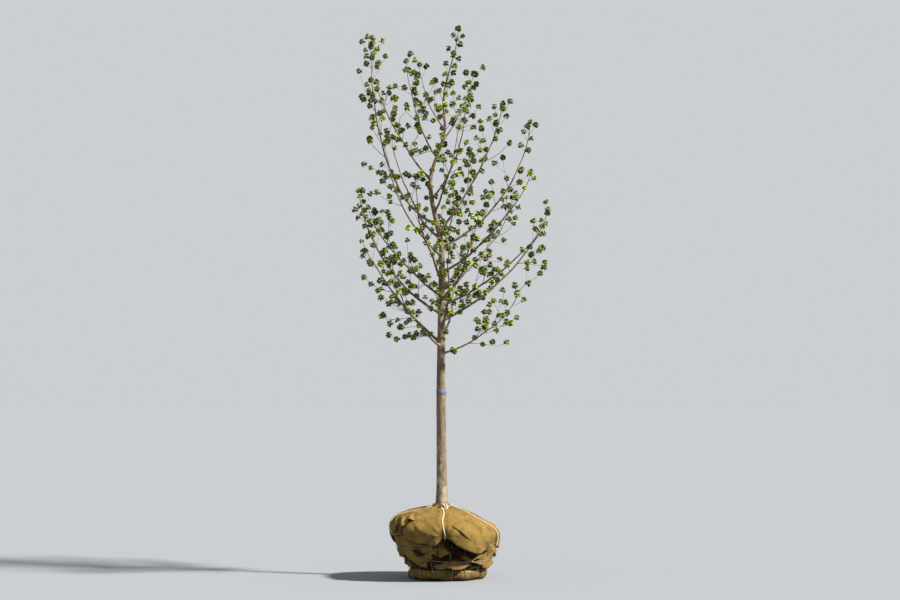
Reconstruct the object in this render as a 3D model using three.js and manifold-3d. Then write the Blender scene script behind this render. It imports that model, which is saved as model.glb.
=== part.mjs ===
// Young shade tree standing on its wrapped root ball, as a nursery lifts it: one straight clear stem, a light open crown
// of ascending boughs, and a squat ball of soil that is wider at its shoulders than at its flat underside.
// Millimetres, +Z up. The origin is the centre of the ball's flat underside, on the ground. +X is to the right and +Y is
// away from the eye in the front view.
import * as THREE from "three";
import { mergeVertices } from "three/addons/utils/BufferGeometryUtils.js";
import Module from "manifold-3d";

const wasm = await Module();
wasm.setup();

// ---------------------------------------------------------------- driving sizes
const GAP = 0.35; // between neighbouring solids
const FOLIAGE_CLEARANCE = 2; // the masses stay this far from wood

// Root ball: a flat round foot, sides that spread upwards, rounded shoulders and a low dome round the stem.
const BALL = {
  footRadius: 248,
  sideRadius: 345, // half-way up
  sideHeight: 190,
  shoulderRadius: 396,
  shoulderHeight: 358,
  brimRadius: 362, // where the side has turned over into the dome
  brimHeight: 428,
  domeRadius: 190,
  domeHeight: 496,
  height: 530,
  shoulderLift: 42, // the -X shoulder stands higher than the middle by this, the +X one lower
  shoulderShift: -12, // the upper part of the ball sits a little to the -X side of its foot
  sideShift: 14, // the lower side stands out more on the +X side
  lumps: [
    // share of the radius, waves round the ball, phase in degrees, degrees of twist over the ball's height
    [0.012, 2, 35, 40],
    [0.014, 3, 80, -70],
    [0.012, 5, 20, 110],
    [0.01, 8, 140, -160],
  ],
  sides: 34,
};

// Stem and leader: one tapering limb from the ball to the tip of the crown.
const STEM = {
  footX: -30,
  footY: 0,
  footZ: 500, // flat cut, sunk into the dome
  tipZ: 4180,
  flareRadius: 62,
  flareFade: 46, // height in which the flare has shrunk to a third
  // diameter by height
  taper: [
    [560, 82],
    [1000, 73],
    [1500, 65],
    [1900, 58],
    [2450, 43],
    [2750, 37],
    [3030, 29],
    [3400, 20],
    [3800, 12],
    [4180, 4],
  ],
  // each bend moves the centre line sideways between two heights
  bends: [
    { from: 2440, to: 2960, x: -82, y: 14 },
    { from: 2990, to: 3420, x: 112, y: -22 },
    { from: 3420, to: 3600, x: -12, y: 12 },
    { from: 3600, to: 4180, x: 107, y: 16 },
  ],
  sway: 3,
  sides: 12,
  steps: 30,
};

// Boughs. z: height where it leaves the stem. tip: where its last shoot ends. bend: how far it spreads before it climbs,
// 0 is straight. r: radius at the collar. bare: share of its length below its foliage. wide: half width of that foliage.
const BOUGHS = [
  { name: "left_low", z: 1772, tip: [-640, 150, 2565], bend: 0.22, r: 9.7, bare: 0.35, wide: 132 },
  { name: "left_low_front", z: 1742, tip: [-395, -420, 2390], bend: 0.5, r: 8.1, bare: 0.35, wide: 126 },
  { name: "left", z: 2000, tip: [-655, -85, 2915], bend: 0.55, r: 10.1, bare: 0.33, wide: 138 },
  { name: "left_back", z: 2128, tip: [-600, 330, 2830], bend: 0.3, r: 8.9, bare: 0.31, wide: 132 },
  { name: "left_high", z: 2682, tip: [-570, 45, 4060], bend: 0.95, r: 9.3, bare: 0.23, wide: 118, split: 0.63 },
  { name: "left_fork", z: 3018, tip: [-520, -125, 3735], bend: 0.3, r: 8.1, bare: 0.23, wide: 114 },
  { name: "mid_left", z: 3190, tip: [-300, 65, 3930], bend: 0.45, r: 6.6, bare: 0.21, wide: 102 },
  { name: "top_left", z: 3400, tip: [-195, -115, 3870], bend: 0.45, r: 5, bare: 0.23, wide: 88 },
  { name: "right_foot", z: 1690, tip: [540, -110, 2140], bend: 0.5, r: 6.2, bare: 0.39, wide: 106 },
  { name: "right_low", z: 1948, tip: [785, 110, 2795], bend: 0.42, r: 9.7, bare: 0.39, wide: 122 },
  { name: "right_low_front", z: 2052, tip: [725, -170, 2640], bend: 0.3, r: 8.6, bare: 0.33, wide: 126 },
  { name: "right_front", z: 2104, tip: [240, -560, 2690], bend: 0.45, r: 8.6, bare: 0.31, wide: 134 },
  { name: "right_mid", z: 2306, tip: [630, -320, 3010], bend: 0.35, r: 8.6, bare: 0.29, wide: 130 },
  { name: "right", z: 2510, tip: [652, 90, 3465], bend: 0.6, r: 9.3, bare: 0.27, wide: 126 },
  { name: "right_high", z: 2620, tip: [436, -75, 3580], bend: 0.3, r: 8.9, bare: 0.25, wide: 126 },
  { name: "top_right", z: 3320, tip: [215, 50, 3830], bend: 0.3, r: 5.9, bare: 0.25, wide: 92 },
  { name: "front_low", z: 1884, tip: [40, -650, 2500], bend: 0.4, r: 9.3, bare: 0.35, wide: 136 },
  { name: "front", z: 2240, tip: [-215, -640, 2960], bend: 0.45, r: 9.3, bare: 0.31, wide: 134 },
  { name: "front_left", z: 2430, tip: [-450, -405, 3230], bend: 0.45, r: 8.6, bare: 0.29, wide: 126 },
  { name: "front_high", z: 2770, tip: [150, -430, 3560], bend: 0.45, r: 8.1, bare: 0.25, wide: 120 },
  { name: "back_low", z: 1826, tip: [130, 670, 2490], bend: 0.4, r: 9.3, bare: 0.35, wide: 136 },
  { name: "back_right", z: 2180, tip: [500, 480, 2860], bend: 0.4, r: 8.6, bare: 0.31, wide: 130 },
  { name: "back", z: 2370, tip: [60, 650, 3110], bend: 0.45, r: 8.9, bare: 0.29, wide: 130 },
  { name: "back_left", z: 2575, tip: [-420, 440, 3400], bend: 0.5, r: 8.6, bare: 0.27, wide: 126 },
  { name: "back_high", z: 2870, tip: [130, 430, 3640], bend: 0.45, r: 7.7, bare: 0.25, wide: 118 },
];
const BOUGH = { tipRadius: 1.8, collar: 0.35, collarFade: 38, sway: 0.022, sides: 7, steps: 6 };

// Foliage carried by the leader itself: [height from, height to, half width].
const LEADER_FOLIAGE = {
  leader_low: [3070, 3400, 100],
  leader_mid: [3440, 3750, 92],
  leader_top: [3790, 4190, 76],
};
const FOLIAGE = {
  sides: 9,
  rings: 7,
  beyondTip: 30, // leaves reach past the last bud by this
  lumps: [0.13, 0.11, 0.1],
};

// Finish of each kind of piece.
const FINISH = {
  ball: { color: 0x9a7c35, roughness: 0.95 },
  bark: { color: 0x9b8b7c, roughness: 0.85 },
  leaf: { color: 0x6f7f24, roughness: 0.8 },
};

// ---------------------------------------------------------------- shared shapes
const smooth = (a, b, v) => {
  const t = Math.min(1, Math.max(0, (v - a) / (b - a)));
  return t * t * (3 - 2 * t);
};
const readTable = (rows, v) => {
  if (v <= rows[0][0]) return rows[0][1];
  for (let i = 1; i < rows.length; i++)
    if (v <= rows[i][0]) {
      const [a, b] = [rows[i - 1], rows[i]];
      return a[1] + ((b[1] - a[1]) * (v - a[0])) / (b[0] - a[0]);
    }
  return rows[rows.length - 1][1];
};

// Centre line of the stem at height z.
function stemCentre(z) {
  let x = STEM.footX + STEM.sway * Math.sin(z / 310);
  let y = STEM.footY + STEM.sway * Math.cos(z / 270);
  for (const b of STEM.bends) {
    x += b.x * smooth(b.from, b.to, z);
    y += b.y * smooth(b.from, b.to, z);
  }
  return new THREE.Vector3(x, y, z);
}
const stemRadius = (z) =>
  readTable(STEM.taper, z) / 2 +
  (STEM.flareRadius - STEM.taper[0][1] / 2) *
    Math.exp(-(z - STEM.footZ) / STEM.flareFade);

// Centre line of a bough, t from 0 in the heart of the stem to 1 at its last bud, and straight on past that.
function boughLine(b, index) {
  const foot = stemCentre(b.z);
  const tip = new THREE.Vector3(...b.tip);
  const span = tip.clone().sub(foot);
  const across = new THREE.Vector3(-span.y, span.x, 0).normalize();
  const inside = (t) => {
    const out = 1 - (1 - t) ** (1 + b.bend);
    const up = t ** (1 + 0.6 * b.bend);
    const side =
      BOUGH.sway * span.length() * Math.sin(Math.PI * (1.7 * t + 0.37 * index)) * Math.sin(Math.PI * t);
    return new THREE.Vector3(
      foot.x + span.x * out + across.x * side,
      foot.y + span.y * out + across.y * side,
      foot.z + span.z * up,
    );
  };
  const end = inside(1);
  const start = inside(0.03).sub(foot).normalize();
  const lead = end.clone().sub(inside(0.97)).normalize();
  const at = (t) => {
    if (t < 0) return foot.clone().addScaledVector(start, t * span.length());
    return t <= 1 ? inside(t) : end.clone().addScaledVector(lead, (t - 1) * span.length());
  };
  return { at, across, length: span.length() };
}

// Lays a shape that stands along its own Y axis, from -1 to 1, round a curve: radius(s, angle) is its size there.
function layAlong(shape, line, from, to, radius) {
  const p = shape.getAttribute("position");
  for (let i = 0; i < p.count; i++) {
    const s = (p.getY(i) + 1) / 2;
    const t = from + (to - from) * s;
    const centre = line.at(t);
    const ahead = line.at(t + 0.01).sub(line.at(t - 0.01)).normalize();
    const side = line.across.clone().addScaledVector(ahead, -line.across.dot(ahead)).normalize();
    const up = new THREE.Vector3().crossVectors(ahead, side);
    const share = Math.hypot(p.getX(i), p.getZ(i));
    const angle = Math.atan2(p.getZ(i), p.getX(i));
    const r = share * radius(s, t, angle);
    centre.addScaledVector(side, r * Math.cos(angle)).addScaledVector(up, -r * Math.sin(angle));
    p.setXYZ(i, centre.x, centre.y, centre.z);
  }
  return shape;
}

// ---------------------------------------------------------------- solids
function solidOf(geometry) {
  const g = geometry.clone();
  g.deleteAttribute("normal");
  g.deleteAttribute("uv");
  const merged = mergeVertices(g, 1e-3);
  const solid = new wasm.Manifold(
    new wasm.Mesh({
      numProp: 3,
      vertProperties: new Float32Array(merged.attributes.position.array),
      triVerts: new Uint32Array(merged.index.array),
    }),
  );
  return solid;
}
function geometryOf(solid) {
  const mesh = solid.getMesh();
  const g = new THREE.BufferGeometry();
  g.setAttribute("position", new THREE.BufferAttribute(new Float32Array(mesh.vertProperties), 3));
  g.setIndex(new THREE.BufferAttribute(new Uint32Array(mesh.triVerts), 1));
  g.computeVertexNormals();
  return g;
}
// The largest body that is left after the others are cut away.
function cut(solid, others) {
  let left = solid;
  for (const o of others) left = left.subtract(o);
  const bodies = left.decompose();
  return bodies.reduce((a, b) => (b.volume() > a.volume() ? b : a));
}

function ballShape() {
  const b = BALL;
  const outline = new THREE.SplineCurve([
    new THREE.Vector2(b.footRadius, 0),
    new THREE.Vector2(b.footRadius + 34, 62),
    new THREE.Vector2(b.sideRadius, b.sideHeight),
    new THREE.Vector2(b.shoulderRadius, b.shoulderHeight),
    new THREE.Vector2(b.brimRadius, b.brimHeight),
    new THREE.Vector2(b.domeRadius, b.domeHeight),
    new THREE.Vector2(70, b.height),
  ]).getPoints(13);
  const profile = [new THREE.Vector2(0, 0), ...outline, new THREE.Vector2(0, b.height)];
  const g = new THREE.LatheGeometry(profile, b.sides);
  g.rotateX(Math.PI / 2);
  const p = g.getAttribute("position");
  for (let i = 0; i < p.count; i++) {
    const [x, y, z] = [p.getX(i), p.getY(i), p.getZ(i)];
    const angle = Math.atan2(y, x);
    let share = 1;
    for (const [amount, waves, phase, twist] of b.lumps)
      share += amount * Math.sin(waves * angle + THREE.MathUtils.degToRad(phase + (twist * z) / b.height));
    const lift =
      -b.shoulderLift * Math.cos(angle) * smooth(40, b.brimHeight, z) * smooth(60, b.shoulderRadius, Math.hypot(x, y));
    p.setXYZ(i, x * share + b.shoulderShift * smooth(0, b.shoulderHeight, z) + b.sideShift * Math.sin((Math.PI * Math.min(z, 300)) / 300), y * share, z + lift);
  }
  return g;
}

function stemShape(grow, from = STEM.footZ, to = STEM.tipZ) {
  const line = {
    at: (t) => stemCentre(t),
    across: new THREE.Vector3(0, 1, 0),
  };
  const g = new THREE.CylinderGeometry(1, 1, 2, STEM.sides, STEM.steps);
  // rings are closer together in the flare
  const p = g.getAttribute("position");
  for (let i = 0; i < p.count; i++) {
    const s = (p.getY(i) + 1) / 2;
    p.setY(i, 2 * s ** 1.35 - 1);
  }
  return layAlong(g, { ...line, at: (z) => stemCentre(z) }, from - grow, to + grow, (s, z) => stemRadius(z) + grow);
}

function boughShape(b, line, grow, from, to) {
  const g = new THREE.CylinderGeometry(1, 1, 2, BOUGH.sides, BOUGH.steps);
  return layAlong(g, line, from, to, (s, t) => {
    const thin = BOUGH.tipRadius + (b.r - BOUGH.tipRadius) * (1 - Math.min(1, t)) ** 0.8;
    return thin * (1 + BOUGH.collar * Math.exp((-t * line.length) / BOUGH.collarFade)) + grow;
  });
}

// An uneven spindle of foliage round a stretch of a centre line.
function foliageShape(line, from, to, wide, seed, grow) {
  const g = new THREE.SphereGeometry(1, FOLIAGE.sides, FOLIAGE.rings);
  const [a, b, c] = FOLIAGE.lumps;
  const more = grow / line.length;
  // the sphere's own rounding is undone first, so that the spindle's outline is set here
  const p = g.getAttribute("position");
  for (let i = 0; i < p.count; i++) {
    const round = Math.hypot(p.getX(i), p.getZ(i));
    if (round > 1e-6) {
      p.setX(i, p.getX(i) / round);
      p.setZ(i, p.getZ(i) / round);
    } else {
      p.setX(i, 0);
      p.setZ(i, 0);
    }
  }
  return layAlong(g, line, from - more, to + more, (s, t, angle) => {
    const outline = Math.max(0, Math.sin(Math.PI * Math.min(1, Math.max(0, s)) ** 0.82)) ** 0.62;
    const lumps =
      1 +
      a * Math.sin(2 * angle + 1.7 * seed) +
      b * Math.sin(3 * angle - 5 * s + 2.3 * seed) +
      c * Math.sin(7.5 * s + 1.3 * seed);
    return wide * outline * lumps + grow;
  });
}

// ---------------------------------------------------------------- assembly
const tree = new THREE.Group();
function add(name, solid, finish) {
  const mesh = new THREE.Mesh(
    geometryOf(solid),
    new THREE.MeshStandardMaterial({ color: finish.color, roughness: finish.roughness, metalness: 0 }),
  );
  mesh.name = name;
  tree.add(mesh);
}
const near = (a, b) => {
  const [p, q] = [a.boundingBox(), b.boundingBox()];
  return [0, 1, 2].every((i) => p.min[i] < q.max[i] + 1 && q.min[i] < p.max[i] + 1);
};

const stem = solidOf(stemShape(0));
const stemCutter = solidOf(stemShape(GAP));
const stemClear = solidOf(stemShape(FOLIAGE_CLEARANCE));
add("root_ball", cut(solidOf(ballShape()), [stemCutter]), FINISH.ball);
add("trunk", stem, FINISH.bark);

const woodClear = [stemClear];
const boughCutters = [];
const boughs = BOUGHS.map((b, i) => ({ ...b, line: boughLine(b, i) }));
for (const b of boughs) {
  const whole = solidOf(boughShape(b, b.line, 0, 0, b.bare));
  const piece = cut(whole, [stemCutter, ...boughCutters.filter((o) => near(o, whole))]);
  add(`bough_${b.name}`, piece, FINISH.bark);
  boughCutters.push(solidOf(boughShape(b, b.line, GAP, 0, b.bare)));
  // a mass stays clear of its own bough's end too
  woodClear.push(solidOf(boughShape(b, b.line, FOLIAGE_CLEARANCE, 0, b.bare)));
}

const foliageCutters = [];
function addFoliage(name, line, from, to, wide, seed) {
  const whole = solidOf(foliageShape(line, from, to, wide, seed, 0));
  const piece = cut(
    whole,
    [...woodClear, ...foliageCutters].filter((o) => near(o, whole)),
  );
  add(`foliage_${name}`, piece, FINISH.leaf);
  foliageCutters.push(solidOf(foliageShape(line, from, to, wide, seed, GAP)));
}
boughs.forEach((b, i) => {
  const end = 1 + FOLIAGE.beyondTip / b.line.length;
  const start = b.bare + 4 / b.line.length;
  if (b.split) {
    const gap = 6 / b.line.length;
    addFoliage(`${b.name}_inner`, b.line, start, b.split - gap, b.wide, i);
    addFoliage(`${b.name}_tip`, b.line, b.split + gap, end, b.wide * 1.05, i + 0.5);
  } else addFoliage(b.name, b.line, start, end, b.wide, i);
});
const leader = { at: (z) => stemCentre(z), across: new THREE.Vector3(0, 1, 0), length: 1 };
Object.entries(LEADER_FOLIAGE).forEach(([name, [from, to, wide]], i) =>
  addFoliage(name, leader, from, to + (name === "leader_top" ? FOLIAGE.beyondTip : 0), wide, 31 + i),
);

export default tree;
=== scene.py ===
import math

import bpy
import numpy as np
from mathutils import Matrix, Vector


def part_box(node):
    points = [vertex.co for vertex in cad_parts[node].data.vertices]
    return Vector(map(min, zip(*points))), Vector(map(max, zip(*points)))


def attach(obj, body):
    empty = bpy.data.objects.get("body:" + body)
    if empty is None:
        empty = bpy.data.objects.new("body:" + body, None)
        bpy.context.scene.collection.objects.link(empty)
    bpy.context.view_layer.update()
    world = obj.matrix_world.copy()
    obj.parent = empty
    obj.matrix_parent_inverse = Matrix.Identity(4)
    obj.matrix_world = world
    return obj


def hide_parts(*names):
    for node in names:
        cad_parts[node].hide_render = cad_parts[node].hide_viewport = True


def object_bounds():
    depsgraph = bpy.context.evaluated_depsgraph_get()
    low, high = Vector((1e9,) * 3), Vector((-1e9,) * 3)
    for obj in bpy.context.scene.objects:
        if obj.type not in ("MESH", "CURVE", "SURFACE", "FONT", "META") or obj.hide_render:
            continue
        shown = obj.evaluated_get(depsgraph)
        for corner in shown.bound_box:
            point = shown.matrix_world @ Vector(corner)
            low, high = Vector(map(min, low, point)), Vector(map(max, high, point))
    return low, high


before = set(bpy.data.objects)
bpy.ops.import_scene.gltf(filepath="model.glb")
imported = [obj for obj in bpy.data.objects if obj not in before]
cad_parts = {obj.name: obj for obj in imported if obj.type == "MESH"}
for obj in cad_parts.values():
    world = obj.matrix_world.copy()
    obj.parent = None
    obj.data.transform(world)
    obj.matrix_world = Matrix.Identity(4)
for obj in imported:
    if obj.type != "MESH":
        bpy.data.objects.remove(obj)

CAD_LO, CAD_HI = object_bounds()

# ------------------------------------------------------------------ camera and light first
# Front view: the eye stands about 14 m off and 1.35 m above the ground, a little below the crown.
EYE = Vector((0.02, -14.0, 1.35))
LOOK = Vector((0.035, 0.0, 2.095))
cam_data = bpy.data.cameras.new("main_camera")
cam_data.sensor_width = 36.0
cam_data.lens = 74.0
cam_data.clip_start, cam_data.clip_end = 0.1, 200.0
cam_data.dof.use_dof = False
cam = bpy.data.objects.new("main_camera", cam_data)
cam.location = EYE
cam.rotation_mode = "QUATERNION"
cam.rotation_quaternion = (LOOK - EYE).to_track_quat("-Z", "Y")
bpy.context.collection.objects.link(cam)
bpy.context.scene.camera = cam


def aimed(o, place, aim):
    o.location = place
    o.rotation_mode = "QUATERNION"
    o.rotation_quaternion = (Vector(aim) - Vector(place)).to_track_quat("-Z", "Y")
    bpy.context.collection.objects.link(o)


# the key comes from the right, a little from the front
key = bpy.data.lights.new("key_light", "SUN")
key.energy, key.angle, key.color = 7.5, math.radians(5.0), (1.0, 0.955, 0.88)
aimed(bpy.data.objects.new("key_light", key), (7.9, -3.0, 9.0), (0, 0, 2.0))
fill = bpy.data.lights.new("fill_light", "AREA")
fill.shape, fill.size, fill.energy, fill.color = "DISK", 6.0, 35, (0.90, 0.95, 1.0)
aimed(bpy.data.objects.new("fill_light", fill), (-6.0, -9.0, 4.5), (0, 0, 1.6))

world = bpy.data.worlds.new("studio")
world.use_nodes = True
world.node_tree.nodes["Background"].inputs["Color"].default_value = (0.94, 0.97, 1.0, 1)
world.node_tree.nodes["Background"].inputs["Strength"].default_value = 0.38
bpy.context.scene.world = world
bpy.context.scene.view_settings.view_transform = "Standard"
bpy.context.scene.view_settings.look = "None"
bpy.context.scene.view_settings.exposure = 0.75

# ------------------------------------------------------------------ sizes, in metres, as the frame has them
STEM_FOOT = (-0.030, 0.0, 0.500)
STEM_TIP_Z = 4.180
STEM_TAPER = np.array(
    [
        (0.560, 0.082), (1.000, 0.073), (1.500, 0.065), (1.900, 0.058), (2.450, 0.043),
        (2.750, 0.037), (3.030, 0.029), (3.400, 0.020), (3.800, 0.012), (4.180, 0.004),
    ]
)
STEM_BENDS = (
    (2.440, 2.960, -0.082, 0.014),
    (2.990, 3.420, 0.112, -0.022),
    (3.420, 3.600, -0.012, 0.012),
    (3.600, 4.180, 0.107, 0.016),
)
STEM_SWAY = 0.003
FLARE_RADIUS, FLARE_FADE = 0.062, 0.046

# name, height on the stem, tip, bend, radius at the collar, bare share
BOUGHS = (
    ("left_low", 1.772, (-0.640, 0.150, 2.565), 0.22, 0.0097, 0.42),
    ("left_low_front", 1.742, (-0.395, -0.420, 2.390), 0.50, 0.0081, 0.42),
    ("left", 2.000, (-0.655, -0.085, 2.915), 0.55, 0.0101, 0.40),
    ("left_back", 2.128, (-0.600, 0.330, 2.830), 0.30, 0.0089, 0.38),
    ("left_high", 2.682, (-0.570, 0.045, 4.060), 0.95, 0.0093, 0.30),
    ("left_fork", 3.018, (-0.520, -0.125, 3.735), 0.30, 0.0081, 0.30),
    ("mid_left", 3.190, (-0.300, 0.065, 3.930), 0.45, 0.0066, 0.28),
    ("top_left", 3.400, (-0.195, -0.115, 3.870), 0.45, 0.0050, 0.30),
    ("right_foot", 1.690, (0.540, -0.110, 2.140), 0.50, 0.0062, 0.46),
    ("right_low", 1.948, (0.785, 0.110, 2.795), 0.42, 0.0097, 0.46),
    ("right_low_front", 2.052, (0.725, -0.170, 2.640), 0.30, 0.0086, 0.40),
    ("right_front", 2.104, (0.240, -0.560, 2.690), 0.45, 0.0086, 0.38),
    ("right_mid", 2.306, (0.630, -0.320, 3.010), 0.35, 0.0086, 0.36),
    ("right", 2.510, (0.652, 0.090, 3.465), 0.60, 0.0093, 0.34),
    ("right_high", 2.620, (0.436, -0.075, 3.580), 0.30, 0.0089, 0.32),
    ("top_right", 3.320, (0.215, 0.050, 3.830), 0.30, 0.0059, 0.32),
    ("front_low", 1.884, (0.040, -0.650, 2.500), 0.40, 0.0093, 0.42),
    ("front", 2.240, (-0.215, -0.640, 2.960), 0.45, 0.0093, 0.38),
    ("front_left", 2.430, (-0.450, -0.405, 3.230), 0.45, 0.0086, 0.36),
    ("front_high", 2.770, (0.150, -0.430, 3.560), 0.45, 0.0081, 0.32),
    ("back_low", 1.826, (0.130, 0.670, 2.490), 0.40, 0.0093, 0.42),
    ("back_right", 2.180, (0.500, 0.480, 2.860), 0.40, 0.0086, 0.38),
    ("back", 2.370, (0.060, 0.650, 3.110), 0.45, 0.0089, 0.36),
    ("back_left", 2.575, (-0.420, 0.440, 3.400), 0.50, 0.0086, 0.34),
    ("back_high", 2.870, (0.130, 0.430, 3.640), 0.45, 0.0077, 0.32),
)
DENSE_TIPS = {"left_high": 0.45, "right_high": 0.60, "left_fork": 0.35, "mid_left": 0.25, "right": 0.40, "top_right": 0.40}  # how much closer the buds stand at the tip
SPREADS = {"left_high": 1.45, "right": 0.95}  # how much further than usual the side shoots reach
BOUGH_TIP_RADIUS = 0.0018
BOUGH_SWAY = 0.022


def smooth(a, b, v):
    t = np.clip((v - a) / (b - a), 0.0, 1.0)
    return t * t * (3 - 2 * t)


def stem_centre(z):
    z = np.asarray(z, float)
    x = STEM_FOOT[0] + STEM_SWAY * np.sin(z / 0.310)
    y = STEM_FOOT[1] + STEM_SWAY * np.cos(z / 0.270)
    for a, b, dx, dy in STEM_BENDS:
        x = x + dx * smooth(a, b, z)
        y = y + dy * smooth(a, b, z)
    return np.stack([x, y, z], -1)


def stem_radius(z):
    r = np.interp(z, STEM_TAPER[:, 0], STEM_TAPER[:, 1]) / 2
    return r + (FLARE_RADIUS - STEM_TAPER[0, 1] / 2) * np.exp(-(z - STEM_FOOT[2]) / FLARE_FADE)


def bough_points(row, index, step=0.008):
    """Points along a bough's centre line, from the heart of the stem to its last bud."""
    _, z, tip, bend, _, _ = row
    foot = stem_centre(z)
    span = np.array(tip) - foot
    length = np.linalg.norm(span)
    across = np.array([-span[1], span[0], 0.0])
    across /= np.linalg.norm(across)
    t = np.linspace(0, 1, max(12, int(length * 1.06 / step)))
    out = 1 - (1 - t) ** (1 + bend)
    up = t ** (1 + 0.6 * bend)
    side = BOUGH_SWAY * length * np.sin(np.pi * (1.7 * t + 0.37 * index)) * np.sin(np.pi * t)
    p = foot + np.stack([span[0] * out, span[1] * out, span[2] * up], -1) + across * side[:, None]
    return t, p


# ------------------------------------------------------------------ mesh helpers
def link(o):
    bpy.context.collection.objects.link(o)
    return o


def mesh_of(name, verts, quads=None, tris=None, materials=(), quad_mat=None, tri_mat=None, smooth_faces=True, uv=None):
    """A mesh object from arrays."""
    quads = np.zeros((0, 4), np.int64) if quads is None else np.asarray(quads, np.int64)
    tris = np.zeros((0, 3), np.int64) if tris is None else np.asarray(tris, np.int64)
    me = bpy.data.meshes.new(name)
    me.vertices.add(len(verts))
    me.vertices.foreach_set("co", np.asarray(verts, np.float32).ravel())
    loops = np.concatenate([quads.ravel(), tris.ravel()]).astype(np.int32)
    me.loops.add(len(loops))
    me.loops.foreach_set("vertex_index", loops)
    n = len(quads) + len(tris)
    start = np.concatenate([np.arange(len(quads)) * 4, len(quads) * 4 + np.arange(len(tris)) * 3]).astype(np.int32)
    me.polygons.add(n)
    me.polygons.foreach_set("loop_start", start)
    for m in materials:
        me.materials.append(m)
    which = np.concatenate(
        [
            np.zeros(len(quads), np.int32) if quad_mat is None else np.asarray(quad_mat, np.int32),
            np.zeros(len(tris), np.int32) if tri_mat is None else np.asarray(tri_mat, np.int32),
        ]
    )
    me.polygons.foreach_set("material_index", which)
    me.polygons.foreach_set("use_smooth", np.full(n, smooth_faces))
    if uv is not None:
        layer = me.uv_layers.new(name="UVMap")
        layer.data.foreach_set("uv", np.asarray(uv, np.float32)[loops].ravel())
    me.update(calc_edges=True)
    me.validate()
    return link(bpy.data.objects.new(name, me))


def frames_along(p):
    """Tangent and two sideways directions at each point of a path, turned as little as can be."""
    t = np.gradient(p, axis=0)
    t /= np.linalg.norm(t, axis=1)[:, None]
    n = np.empty_like(t)
    ref = np.array([0.0, 1.0, 0.0]) if abs(t[0][1]) < 0.8 else np.array([1.0, 0.0, 0.0])
    v = ref - t[0] * (ref @ t[0])
    n[0] = v / np.linalg.norm(v)
    for i in range(1, len(p)):
        v = n[i - 1] - t[i] * (n[i - 1] @ t[i])
        n[i] = v / np.linalg.norm(v)
    return t, n, np.cross(t, n)


def tube(p, r, sides, cap_end=True, cap_start=False, phase=0.0):
    """Vertices, quads and triangles of a tube round points p; r is (rings,) or (rings, sides)."""
    t, n, b = frames_along(p)
    a = np.arange(sides) * 2 * np.pi / sides + phase
    r = np.asarray(r, float)
    if r.ndim == 1:
        r = np.repeat(r[:, None], sides, 1)
    v = p[:, None] + r[..., None] * (np.cos(a)[None, :, None] * n[:, None] + np.sin(a)[None, :, None] * b[:, None])
    rings = len(p)
    v = v.reshape(-1, 3)
    i = np.arange(rings - 1)[:, None] * sides
    j = np.arange(sides)[None]
    k = (j + 1) % sides
    quads = np.stack([i + j, i + k, i + sides + k, i + sides + j], -1).reshape(-1, 4)
    tris = []
    if cap_end:
        v = np.vstack([v, p[-1] + t[-1] * r[-1].mean() * 0.6])
        base = (rings - 1) * sides
        tris.append(np.stack([base + j[0], base + k[0], np.full(sides, len(v) - 1)], -1))
    if cap_start:
        v = np.vstack([v, p[0]])
        tris.append(np.stack([k[0], j[0], np.full(sides, len(v) - 1)], -1))
    tris = np.concatenate(tris) if tris else np.zeros((0, 3), int)
    return v, quads, tris


class Bag:
    """Gathers many small shapes into one mesh."""

    def __init__(self):
        self.v, self.q, self.t, self.qm, self.tm, self.n = [], [], [], [], [], 0

    def add(self, v, q=None, t=None, mat=0):
        if q is not None and len(q):
            self.q.append(q + self.n)
            self.qm.append(np.full(len(q), mat))
        if t is not None and len(t):
            self.t.append(t + self.n)
            self.tm.append(np.full(len(t), mat))
        self.v.append(v)
        self.n += len(v)

    def faces(self):
        return 2 * sum(map(len, self.q)) + sum(map(len, self.t))

    def make(self, name, materials, smooth_faces=True):
        cat = lambda x: np.concatenate(x) if x else None
        return mesh_of(name, cat(self.v), cat(self.q), cat(self.t), materials, cat(self.qm), cat(self.tm), smooth_faces)


def lattice_noise(u, v, nu, seed):
    """Smooth noise of about -1 to 1; u goes round once in nu cells, v counts cells."""
    rng = np.random.default_rng(seed)
    v = np.asarray(v, float)
    v0 = np.floor(v.min())
    rows = int(np.ceil(v.max()) - v0) + 2
    g = rng.uniform(-1, 1, (nu, rows))
    u = np.mod(u, 1.0) * nu
    v = v - v0
    iu, iv = np.floor(u).astype(int), np.floor(v).astype(int)
    fu, fv = u - iu, v - iv
    fu, fv = fu * fu * (3 - 2 * fu), fv * fv * (3 - 2 * fv)
    iu %= nu
    ju = (iu + 1) % nu
    return (
        g[iu, iv] * (1 - fu) * (1 - fv) + g[ju, iv] * fu * (1 - fv) + g[iu, iv + 1] * (1 - fu) * fv + g[ju, iv + 1] * fu * fv
    )


# ------------------------------------------------------------------ materials
def plain(name, colour, roughness=0.5, specular=0.22):
    m = bpy.data.materials.new(name)
    m.use_nodes = True
    b = m.node_tree.nodes["Principled BSDF"]
    b.inputs["Base Color"].default_value = (*colour, 1)
    b.inputs["Roughness"].default_value = roughness
    b.inputs["Specular IOR Level"].default_value = specular
    return m


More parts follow.
